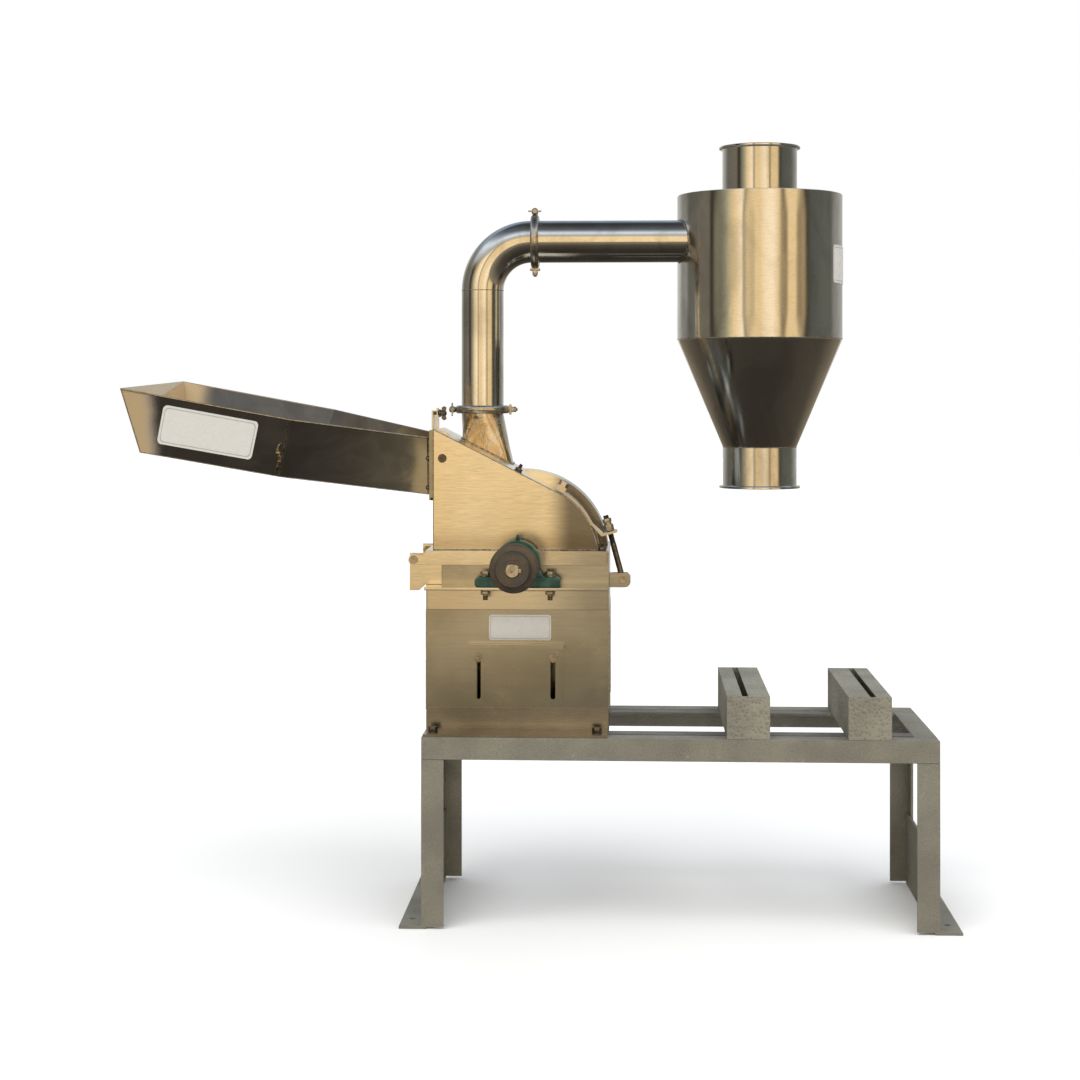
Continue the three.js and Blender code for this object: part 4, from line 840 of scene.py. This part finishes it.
def cover_outline(drum, inset, bottom, bulges, steps=48):
    """The cover's side outline: upright back, sloping roof, then a drum of the given radius."""
    m = COVER["slope"]
    drop = inset * math.hypot(1, m)
    left = COVER["left"] + inset
    r = drum - inset
    rise = roof(AXIS[0]) - drop - AXIS[1]
    root = math.sqrt((1 + m * m) * r * r - rise * rise)
    u = (rise * m + (-root if bulges else root)) / (1 + m * m)
    start = math.degrees(math.atan2(rise - m * u, u))
    end = math.degrees(math.asin((bottom - AXIS[1]) / r))
    return [(left, bottom), (left, roof(left) - drop), *arc(*AXIS, r, start, end, steps)]


def covers():
    wall, split, bottom = COVER["wall"], COVER["split"], COVER["bottom"]
    front, drum = CASING["front"] + 2, DRUM["chamber"]
    outer = prism(cover_outline(drum, 0, bottom, False), "y", front, split)
    inside = prism(cover_outline(drum, wall, bottom - 5, False), "y", front + wall, split - wall)
    suction = disc(SUCTION["chamber"], split - 10, split + 1, 0.1, 64)
    suction.transform(put(AXIS[0], 0, AXIS[1], "y"))
    throat = slab(COVER["left"] - 5, COVER["left"] + wall + 1, *THROAT)
    shell = Shape().take(carve(outer, inside, suction, throat), bevel=0.5)
    x = COVER["left"]
    tab_top = 1045
    tab = [(x + 2, roof(x + 2) - 2), (x + 28, roof(x + 28) - 2), (x + 28, roof(x + 28) + 3),
           (x + 5, roof(x + 5) + 3), (x + 5, tab_top), (x + 2, tab_top)]
    shell.take(prism(tab, "y", GATE_SCREW[0] - 12, GATE_SCREW[0] + 12), bevel=0.6)
    add_piece("chamber_cover_shell", shell, "cover", nodes=("chamber_cover",))

    front, rear, drum = split + GAP, COVER["rear"], DRUM["blower"]
    outer = prism(cover_outline(drum, 0, bottom, True, 72), "y", front, rear)
    inside = prism(cover_outline(drum, wall, bottom - 5, True, 72), "y", front + wall, rear - wall)
    suction = disc(SUCTION["blower"], front - 5, front + 10, 0.1, 64)
    suction.transform(put(AXIS[0], 0, AXIS[1], "y"))
    outlet = slab(*OUTLET, 900, 1100)
    shell = Shape().take(carve(outer, inside, suction, outlet), bevel=0.5)
    add_piece("blower_cover_shell", shell, "cover", nodes=("blower_cover",))

    seams = Shape()
    outline = cover_outline(DRUM["chamber"], 0, bottom, False, 60)
    for y, points in ((CASING["front"] + 2, outline[1:]), (split, outline[2:])):
        path = []
        for (ax, az), (bx, bz) in zip(points, points[1:]):
            count = max(1, int(math.hypot(bx - ax, bz - az) / 4))
            shares = [k / count for k in range(count)]
            path += [(ax + (bx - ax) * k, y, az + (bz - az) * k) for k in shares]
        seams.take(weld_bead(path, 1.1, y))
    add_piece("cover_welds", seams, "ground", "cover")

    beads = Shape()
    y, foot = CASING["front"] + 1.6, bottom + 0.6
    beads.take(weld_bead(line((x + 1, y, foot), (103, y, foot), 90), 1.3, 21))
    beads.take(weld_bead(line((x + 0.4, y, bottom), (x + 0.4, y, 1000), 70), 0.9, 22))
    add_piece("cover_foot_welds", beads, "weld", "cover")


def trough_loop(corners, counts=(10, 12, 10)):
    """Outside points round the trough, then the inside ones back, each wall cut into counts."""
    corners = [Vector(c) for c in corners]
    inward = [Vector(step) * SHEET for step in ((0, 1, 0), (0, 1, 1), (0, -1, 1), (0, -1, 0))]
    flat = [Vector(step) * SHEET for step in ((0, 1, 0), (0, 0, 1), (0, -1, 0))]
    outside, inside = [], []
    for wall, count in enumerate(counts):
        for i in range(count):
            outside.append(corners[wall].lerp(corners[wall + 1], i / count))
            inside.append(outside[-1] + (inward[wall] if i == 0 else flat[wall]))
    outside.append(corners[3])
    inside.append(corners[3] + inward[3])
    return outside + inside[::-1]


def blend_loops(a, b, steps):
    return [[p.lerp(q, i / steps) for p, q in zip(a, b)] for i in range(steps + 1)]


def on_tray(s, t, out):
    """A point by the tray's front wall: s from the end to the bend, t down from the rim, out from it."""
    rim = Vector(TRAY["end"][0]).lerp(Vector(TRAY["bend"][0]), s)
    floor = Vector(TRAY["end"][1]).lerp(Vector(TRAY["bend"][1]), s)
    along = Vector(TRAY["bend"][0]) - Vector(TRAY["end"][0])
    normal = along.cross(floor - rim).normalized()
    if normal.y > 0:
        normal.negate()
    return rim.lerp(floor, t) + normal * out


def hopper():
    wide, narrowing, narrow = (trough_loop(TRAY[k]) for k in ("end", "bend", "throat"))
    shape = Shape()
    shape.take(loops_to_mesh(blend_loops(wide, narrowing, 10)))
    shape.take(loops_to_mesh(blend_loops(narrowing, narrow, 28)))
    plate = [[Vector(c) + Vector((dx, 0, 0)) for c in TRAY["end"]] for dx in (0, 3)]
    shape.take(loops_to_mesh(plate), bevel=0.5)
    for bounds in TRAY_FLANGE:
        shape.take(slab(*FLANGE_X, *bounds), bevel=0.5)
    for bounds in GATE_GUIDES:
        shape.take(slab(FLANGE_X[1] - 0.4, COVER["left"] - GAP, *bounds), bevel=0.4)
    add_piece("feed_tray", shape, "tray", nodes=("feed_hopper",), sharp=30)

    end, bend, throat = TRAY["end"], TRAY["bend"], TRAY["throat"]
    hems = Shape()
    for corner in (0, 3):
        path = line(end[corner], bend[corner], 12) + line(bend[corner], throat[corner], 12)[1:]
        hems.take(tube(path, 1.7, 10))
    hems.take(tube(line(end[0], end[3], 12), 1.9, 10))
    for corner in (0, 1, 2):
        hems.take(tube(line(end[corner], end[corner + 1], 10), 1.2, 8))
    add_piece("tray_hems", hems, "ground", "cover")

    beads = Shape()
    beads.take(weld_bead([on_tray(0.985, t / 40, 0.2) for t in range(41)], 1.2, 31))
    blob = []
    sizes = []
    for i in range(27):
        t = i / 26
        blob.append(on_tray(0.962 - 0.012 * math.sin(7 * t), 0.42 + 0.50 * t, 0.0))
        lump = 0.55 + abs(noise.noise(Vector((i * 0.6, 3.1, 0))))
        sizes.append(1.5 + 5.0 * math.sin(math.pi * t) ** 0.7 * lump)
    beads.take(tube(blob, sizes, 10))
    for corner in (1, 2):
        beads.take(weld_bead(line(end[corner], bend[corner], 90), 0.9, corner))
        beads.take(weld_bead(line(bend[corner], throat[corner], 80), 0.9, corner + 5))
    beads.take(weld_bead(line(bend[3], bend[2], 40), 1.0, 8))
    beads.take(weld_bead(line((-243, -105.5, 981), (-243, -105.5, 869), 40), 1.2, 14))
    add_piece("tray_welds", beads, "weld", "cover")


def pulley_and_shaft():
    centre = put(AXIS[0], 0, AXIS[1], "y")
    front, step, rear = SHAFT["front"], SHAFT["step"], SHAFT["rear"]
    r, thin = SHAFT["radius"], SHAFT["end_radius"]
    y0, y1, rim, bore = front + 2, front + 80, 47.5, thin + GAP

    def groove(y):
        return [(rim - 0.5, y), (rim, y + 0.2), (rim - 11, y + 4.5), (rim - 11, y + 8.5),
                (rim, y + 12.8), (rim - 0.5, y + 13)]
    body = lathe([
        (bore, y0), (20, y0), (20.6, y0 - 0.5), (27, y0 - 0.5), (27.6, y0), (31.5, y0), (32.5, y0 + 1),
        (34.5, y0 + 3), (34.5, y0 + 33), (36, y0 + 35), (46, y0 + 37.2), (rim, y0 + 38.5),
        *groove(y0 + 42), *groove(y0 + 59), (rim, y1 - 1), (rim - 1, y1), (34, y1), (bore, y1)], 128)
    keyway = slab(4, 17.3, -4, 4, y0 - 3, front + 64)
    add_piece("belt_pulley", Shape().take(carve(body, keyway), centre), "iron", nodes=("pulley",), sharp=28)

    turned = lathe([
        (0, front + 4), (2.6, front + 1.2), (3.4, front), (thin - 1.5, front), (thin, front + 1.5),
        (thin, step - 0.3), (thin + 0.6, step), (r - 0.5, step), (r, step + 0.5), (r, rear - 2),
        (r - 1.5, rear), (0, rear)])
    shape = Shape().take(turned, centre)
    shape.take(slab(11, 17, -3.7, 3.7, front + 1, front + 62), centre, 0.4)
    add_piece("rotor_shaft", shape, "ground", nodes=("shaft",), sharp=28)


def bearings():
    foot = LEDGE["top"] + GAP - AXIS[1]
    for end, side in (("front", -1), ("rear", 1)):
        centre = put(AXIS[0], CASING[end] + side * (GAP + PILLOW["out"]), AXIS[1])
        flat = [*arc(80, foot + 6, 6, -90, 0, 6), (86, foot + 15), (80, foot + 20), (-80, foot + 20),
                (-86, foot + 15), *arc(-80, foot + 6, 6, 180, 270, 6)]
        shoulders = [(-62, foot + 4), (62, foot + 4), (50, foot + 22), (42, foot + 36), (-42, foot + 36),
                     (-50, foot + 22)]
        block = Shape()
        for part, width in ((prism(flat, "y", -24, 24), 2.4), (prism(shoulders, "y", -20, 20), 3.0)):
            round_edges(part, width, 25, 3)
            bore = disc(36, -30, 30, 0.1, 72)
            bore.transform(TURN["y"])
            block.take(carve(part, bore), centre)
        housing = lathe([(36, -19), (43.5, -19), (46, -16.5), (46, 16.5), (43.5, 19), (36, 19)])
        block.take(housing, centre @ TURN["y"])
        stack(block, centre @ put(0, 0, 45), ("disc", 5, 0, 4), ("hex", 7, 3.5, 8), ("disc", 2.4, 7, 12))
        add_piece(f"pillow_casting_{end}", block, "casting", nodes=(f"pillow_block_{end}",))

        insert = Shape()
        for profile in ([(30.5, -12), (35.2, -12), (35.7, -11.5), (35.7, 11.5), (35.2, 12), (30.5, 12)],
                        [(24, -10.6), (31, -10.2), (31, 10.2), (24, 10.6)],
                        [(17.8, -21), (23.4, -21), (24, -20.4), (24, 20.4), (23.4, 21), (17.8, 21)]):
            insert.take(lathe(profile), centre @ TURN["y"])
        stack(insert, centre @ put(0, side * 16.5, 20), ("disc", 3, 0, 4.6))
        add_piece(f"insert_rings_{end}", insert, "ground", nodes=(f"bearing_insert_{end}",), sharp=28)

        bolts = Shape()
        top, under = foot + 20 + GAP, foot - LEDGE["thick"] - 2 * GAP
        bolts.take(slab(-76.5, 76.5, -9, 9, under - 2, under), centre, 0.4)
        for x in (-PILLOW["bolt_x"], PILLOW["bolt_x"]):
            stack(bolts, centre @ put(x, 0, 0),
                  ("disc", M12["washer"], top, top + 2.5), ("hex", M12["hex"], top + 2.5, top + 10),
                  ("disc", M12["shank"], under - 12, top + 3),
                  ("thread", M12["shank"], under - 21, under - 9),
                  ("disc", M10["washer"], under - 3.6, under - 2),
                  ("hex", M12["nut"], under - 10, under - 3.4))
        add_piece(f"pillow_fasteners_{end}", bolts, "zinc", nodes=(f"pillow_bolts_{end}",))


def fasteners():
    """Bolts, studs and pins of the casing and the bench."""
    seat, under = FOOT_SEAT, UNDER_BENCH
    for end, y in zip(("front", "rear"), BENCH_SLOTS):
        shape = Shape().take(slab(-242, 115, y - 12, y + 12, under - 5, under), bevel=0.6)
        for x in FOOT_BOLTS:
            stack(shape, put(x, y, 0),
                  ("disc", M10["washer"], seat, seat + 2), ("hex", M10["hex"], seat + 1.8, seat + 8),
                  ("disc", M10["shank"], under - 6, seat + 1),
                  ("hex", M10["hex"], under - 13, under - 4.8),
                  ("thread", M10["shank"], under - 18, under - 5))
        add_piece(f"foot_fasteners_{end}", shape, "black_bolt", nodes=(f"foot_bolts_{end}",))

    for side, x in RAILS.items():
        front, rear = BENCH_SLOTS[0] - 18, BENCH_SLOTS[1] + 18
        shape = Shape().take(slab(x - 15, x + 15, front, rear, under - 8, under), bevel=0.8)
        for y in BENCH_SLOTS:
            stack(shape, put(x, y, 0),
                  ("hex", M10["hex"], RAIL_SEAT, RAIL_SEAT + 7), ("disc", M10["shank"], 365, 391),
                  ("hex", M10["hex"], under - 16, 371), ("thread", M10["shank"], under - 26, 366))
        add_piece(f"rail_clamp_bar_{side}", shape, "zinc", nodes=(f"rail_clamp_{side}",))

    face, inner, z = GATE["face"], GATE["inner"], GATE["bolt_z"]
    left, right = GATE["slot_x"]
    shape = Shape().take(slab(left - 9, right + 9, inner, inner + 3, z + 14, z + 30), bevel=0.4)
    for x in (left, right):
        shape.take(slab(x - 9, x + 9, inner, inner + 3, z - 9, z + 20), bevel=0.4)
        stack(shape, put(x, 0, z, "-y"), ("disc", 9.5, -face, 1.6 - face),
              ("hex", 13, 1.6 - face, 7 - face), ("thread", 4, -inner, 11 - face))
    add_piece("gate_studs", shape, "zinc", nodes=("gate_bolts",))

    for end, axis in (("front", "-y"), ("rear", "y")):
        out, base = (abs(y) for y in HINGE[end])
        shape = Shape()
        stack(shape, put(HINGE["x"], 0, HINGE["z"], axis), ("disc", 8.5, out + GAP, out + 6),
              ("disc", 5, base - 12, out + 1), ("hex", 15, base - 9, base - 1))
        add_piece(f"hinge_bolt_{end}", shape, "zinc", nodes=(f"hinge_pin_{end}",))

    pin = Shape()
    x, y, z = LATCH["x"], LATCH["y"], LATCH["z"]
    stack(pin, put(x, y, z, "y"), ("disc", 5, -13, 13), ("disc", 7.5, -14, -10.8), ("disc", 7.5, 10.8, 14))
    add_piece("clevis_rivet", pin, "zinc", nodes=("clevis_pin",))

    lean = put(x, y, z) @ Matrix.Rotation(math.radians(-LATCH["lean"]), 4, "Y")
    top = LATCH["seat"]
    eye = lathe([(5.3, -6), (11, -6), (12, -5), (12, 5), (11, 6), (5.3, 6)], 64)
    bolt = Shape().take(eye, lean @ TURN["y"])
    stack(bolt, lean, ("disc", 6, 8, top - 25), ("thread", 6, top - 26, top + 34))
    add_piece("eye_bolt", bolt, "black_bolt", nodes=("swing_bolt",))
    nut = Shape()
    low = top + LATCH["slack"]
    stack(nut, lean, ("disc", 10.5, low, low + 2.5), ("hex", 18, low + 2.3, low + 13),
          ("disc", 8, low + 12.5, low + 19), ("hex", 16.5, low + 18, low + 26))
    add_piece("clamp_nut", nut, "zinc", nodes=("swing_nut",))

    screw = Shape()
    stack(screw, put(COVER["left"], *GATE_SCREW, "x"), ("thread", 4, -0.8, 22), ("disc", 8, 6, 10),
          ("disc", 5.5, 9, 20))
    for side in (-1, 1):
        outline = [(11, 3), (20, 3), (22, 12), (17, 15), (12, 12)]
        wing = prism([(a, side * b) for a, b in outline], "y", -2, 2)
        screw.take(wing, put(COVER["left"], *GATE_SCREW), 1.0)
    add_piece("gate_wing_screw", screw, "black_bolt", nodes=("gate_screw",))

    loose = Shape()
    stack(loose, put(-215, -110, 942, "-y"), ("disc", 9, 0, 1.6), ("hex", 11, 1.5, 6.5), ("disc", 3.2, 6, 8))
    slope = Matrix.Rotation(math.atan(COVER["slope"]), 4, "Y")
    stack(loose, put(-61, -86, roof(-61)) @ slope, ("disc", 9, -0.2, 1.6), ("hex", 13, 1.5, 8),
          ("thread", 4, 7, 17))
    for z in (942, 882):
        for y in (-107, 37):
            stack(loose, put(FLANGE_X[0], y, z, "-x"), ("disc", 5, 0, 1.2), ("hex", 8, 1, 5.5))
    stack(loose, put(-160, 42, 1024, "-y"), ("disc", 3.2, -4, 3), ("hex", 6, 2, 5))
    for y in (-121, 149):
        stack(loose, put(113, y, 754), ("disc", 8, 0, 1.5), ("hex", 13, 1.4, 8), ("thread", 4, 7, 15))
    add_piece("cover_screws", loose, "black_bolt", "cover")

    welds = Shape()
    low, high = CASING["weld"]
    for y in (CASING["front"], CASING["rear"]):
        for x in (CASING["left"], CASING["right"]):
            welds.take(weld_bead(line((x, y, low), (x, y, high), 70), 0.9, x + y))
    add_piece("casing_welds", welds, "ground", "frame")


def label(name, point, body, columns=40, round_u=0.04, round_v=0.12):
    """A blank plate with rounded corners: a pale card, a thin line inside its edge, a pale middle."""
    def card(margin_u, margin_v, out):
        loops = []
        for i in range(columns + 1):
            u = 0.5 - 0.5 * math.cos(math.pi * i / columns)
            edge = min(u, 1 - u)
            dip = 0.0
            if edge < round_u:
                dip = round_v * (1 - math.sqrt(max(0.0, 1 - ((round_u - edge) / round_u) ** 2)))
            dip = min(dip, round_v * 0.92)
            low_v = margin_v + dip * (1 - 2 * margin_v)
            place = margin_u + u * (1 - 2 * margin_u)
            loops.append([point(place, low_v, out), point(place, 1 - low_v, out),
                          point(place, 1 - low_v, 0.1), point(place, low_v, 0.1)])
        return loops_to_mesh(loops)
    pale = Shape().take(card(0, 0, 0.45)).take(card(0.030, 0.075, 0.75))
    add_piece(name, pale, "label", body)
    add_piece(f"{name}_line", Shape().take(card(0.022, 0.055, 0.6)), "label_line", body)


def labels():
    def casing(u, v, out):
        return Vector((-118.6 + 127.1 * u, CASING["front"] - out, 570 + 52 * v))
    label("casing_label", casing, "frame")

    def tray(u, v, out):
        top, bottom = 0.245 + 0.57 * u, 0.14 + 0.643 * u
        t = 0.80 - 0.67 * v
        return on_tray(bottom + (top - bottom) * v, t, out)
    label("tray_label", tray, "cover")

    def drum(u, v, out):
        a = math.radians(-33 + 41 * u)
        r = CYCLONE["radius"] + 0.3 + out
        x, y = CYCLONE["x"] + r * math.cos(a), CYCLONE["y"] + r * math.sin(a)
        return Vector((x, y, 1309 + 80 * v))
    label("cyclone_label", drum, "cover")


folded_parts()
cyclone()
pipes()
pipe_clamp("riser_clamp_ring", "riser_clamp", put(PIPE["riser_x"], PIPE["y"], JOINT_Z))
pipe_clamp("elbow_clamp_ring", "elbow_clamp", put(JOINT_X, PIPE["y"], PIPE["cross_z"], "x"))
neck()
covers()
hopper()
pulley_and_shaft()
bearings()
fasteners()
labels()


# ---------- floor, light and camera ----------
def stage():
    look = Look("studio_floor", metallic=0.0)
    tone = look.remap(look.noise(0.6, detail=2), 0.3, 0.7)
    material = look.finish(look.mix(tone, rgb(0.93, 0.93, 0.925), rgb(0.90, 0.90, 0.895)), 0.9)
    half = 30000
    bm = slab(-half, half, -half, half, -20, -0.5)
    bm.transform(Matrix.Scale(MM, 4))
    mesh = bpy.data.meshes.new("studio_floor")
    bm.to_mesh(mesh)
    bm.free()
    floor = bpy.data.objects.new("studio_floor", mesh)
    bpy.context.scene.collection.objects.link(floor)
    floor.data.materials.append(material)
    floor.visible_glossy = False


WARM = rgb(1.00, 0.74, 0.40)
PALE = rgb(1.25, 1.02, 0.72)
DARK = rgb(0.050, 0.044, 0.034)
SHADOW = rgb(0.240, 0.215, 0.150)
OLIVE = rgb(0.420, 0.400, 0.290)
BROWN = rgb(0.200, 0.170, 0.135)
GREY = rgb(0.150, 0.150, 0.130)
SIDE = rgb(0.110, 0.115, 0.100)
WALL = rgb(0.50, 0.50, 0.47)
REAR = rgb(0.75, 0.75, 0.72)

# What stands round the machine: degrees from the front towards the right, colour.
PANORAMA = (
    (-180, REAR), (-150, WALL), (-120, GREY), (-80, BROWN), (-73, DARK), (-67, DARK), (-60, SHADOW),
    (-51, OLIVE), (-41, WARM), (-25, PALE), (-21, SHADOW), (-16, WARM), (-4, WARM), (14, PALE), (24, WARM),
    (28, DARK), (32, WARM), (52, WARM), (60, DARK), (72, SIDE), (110, GREY), (150, WALL), (180, REAR),
)
# Below and above it: degrees from the horizon, colour.
ELEVATIONS = (
    (-90, rgb(0.03, 0.028, 0.022)), (-50, rgb(0.040, 0.035, 0.028)), (-25, rgb(0.085, 0.072, 0.055)),
    (-10, rgb(0.25, 0.21, 0.15)), (-6.6, rgb(0.24, 0.20, 0.14)), (24, rgb(0.35, 0.30, 0.22)),
    (33, rgb(0.55, 0.57, 0.60)), (44, rgb(0.85, 0.93, 1.02)), (54, rgb(0.38, 0.44, 0.52)),
    (64, rgb(0.13, 0.14, 0.16)), (90, rgb(0.06, 0.06, 0.06)),
)


def sky():
    """White to the eye; in reflections a warm panel in front, dark gaps and a cool band overhead."""
    world = bpy.data.worlds.new("studio")
    bpy.context.scene.world = world
    world.use_nodes = True
    look = Nodes(world.node_tree, "Generated")
    x, y, z = look.part("X"), look.part("Y"), look.part("Z")
    azimuth = look.math("ARCTAN2", x, look.times(y, -1.0))
    turn = look.add(look.times(azimuth, 0.5 / math.pi), 0.5)
    height = look.add(look.times(look.math("ARCSINE", z), 1 / math.pi), 0.5)

    def el(degrees):
        return 0.5 + degrees / 180

    round_about = look.ramp(turn, *((0.5 + degrees / 360, color) for degrees, color in PANORAMA))
    upright = look.ramp(height, *((el(degrees), color) for degrees, color in ELEVATIONS))
    inside = look.times(look.remap(height, el(-6.6), el(-5.6)), look.remap(height, el(20), el(30), 1, 0))
    behind = look.times(look.remap(y, -0.05, 0.25), look.remap(z, 0.35, 0.50))
    upright = look.mix(behind, upright, rgb(0.42, 0.48, 0.55), "MULTIPLY")
    seen = look.tree.nodes.new("ShaderNodeLightPath").outputs["Is Camera Ray"]
    sheen = look.tree.nodes["Background"]
    look.feed(sheen.inputs["Color"], look.mix(inside, upright, round_about))
    sheen.inputs["Strength"].default_value = 1.0
    plain = look.node("ShaderNodeBackground", {"Color": rgb(1.0, 1.0, 1.0), "Strength": 1.0})
    both = look.node("ShaderNodeMixShader", {0: seen, 1: sheen.outputs[0], 2: plain.outputs[0]})
    look.tree.links.new(both.outputs[0], look.tree.nodes["World Output"].inputs["Surface"])


def lamp(name, azimuth, elevation, width, strength, color):
    """A distant soft panel: azimuth from the front towards the right, angles in degrees."""
    data = bpy.data.lights.new(name, "SUN")
    data.angle = math.radians(width)
    data.energy = strength
    data.color = color
    panel = bpy.data.objects.new(name, data)
    flat = math.cos(math.radians(elevation))
    turn = math.radians(azimuth)
    towards = Vector((flat * math.sin(turn), -flat * math.cos(turn), math.sin(math.radians(elevation))))
    panel.rotation_euler = towards.to_track_quat("Z", "Y").to_euler()
    panel.visible_glossy = False
    bpy.context.scene.collection.objects.link(panel)


def lights():
    lamp("key", -28, 52, 50, 1.7, (1.0, 0.985, 0.96))
    lamp("fill", 48, 34, 60, 0.9, (0.98, 0.99, 1.0))
    lamp("top", 150, 74, 80, 1.2, (1.0, 1.0, 1.0))


def camera():
    data = bpy.data.cameras.new("camera")
    data.sensor_width = 36
    data.lens = CAMERA["lens"]
    data.shift_y = CAMERA["rise"]
    data.clip_end = 200
    cam = bpy.data.objects.new("camera", data)
    cam.location = CAMERA["place"]
    cam.rotation_euler = (math.radians(90), 0, math.radians(CAMERA["turn"]))
    bpy.context.scene.collection.objects.link(cam)
    bpy.context.scene.camera = cam


stage()
sky()
lights()
camera()
bpy.context.scene.view_settings.view_transform = "Standard"
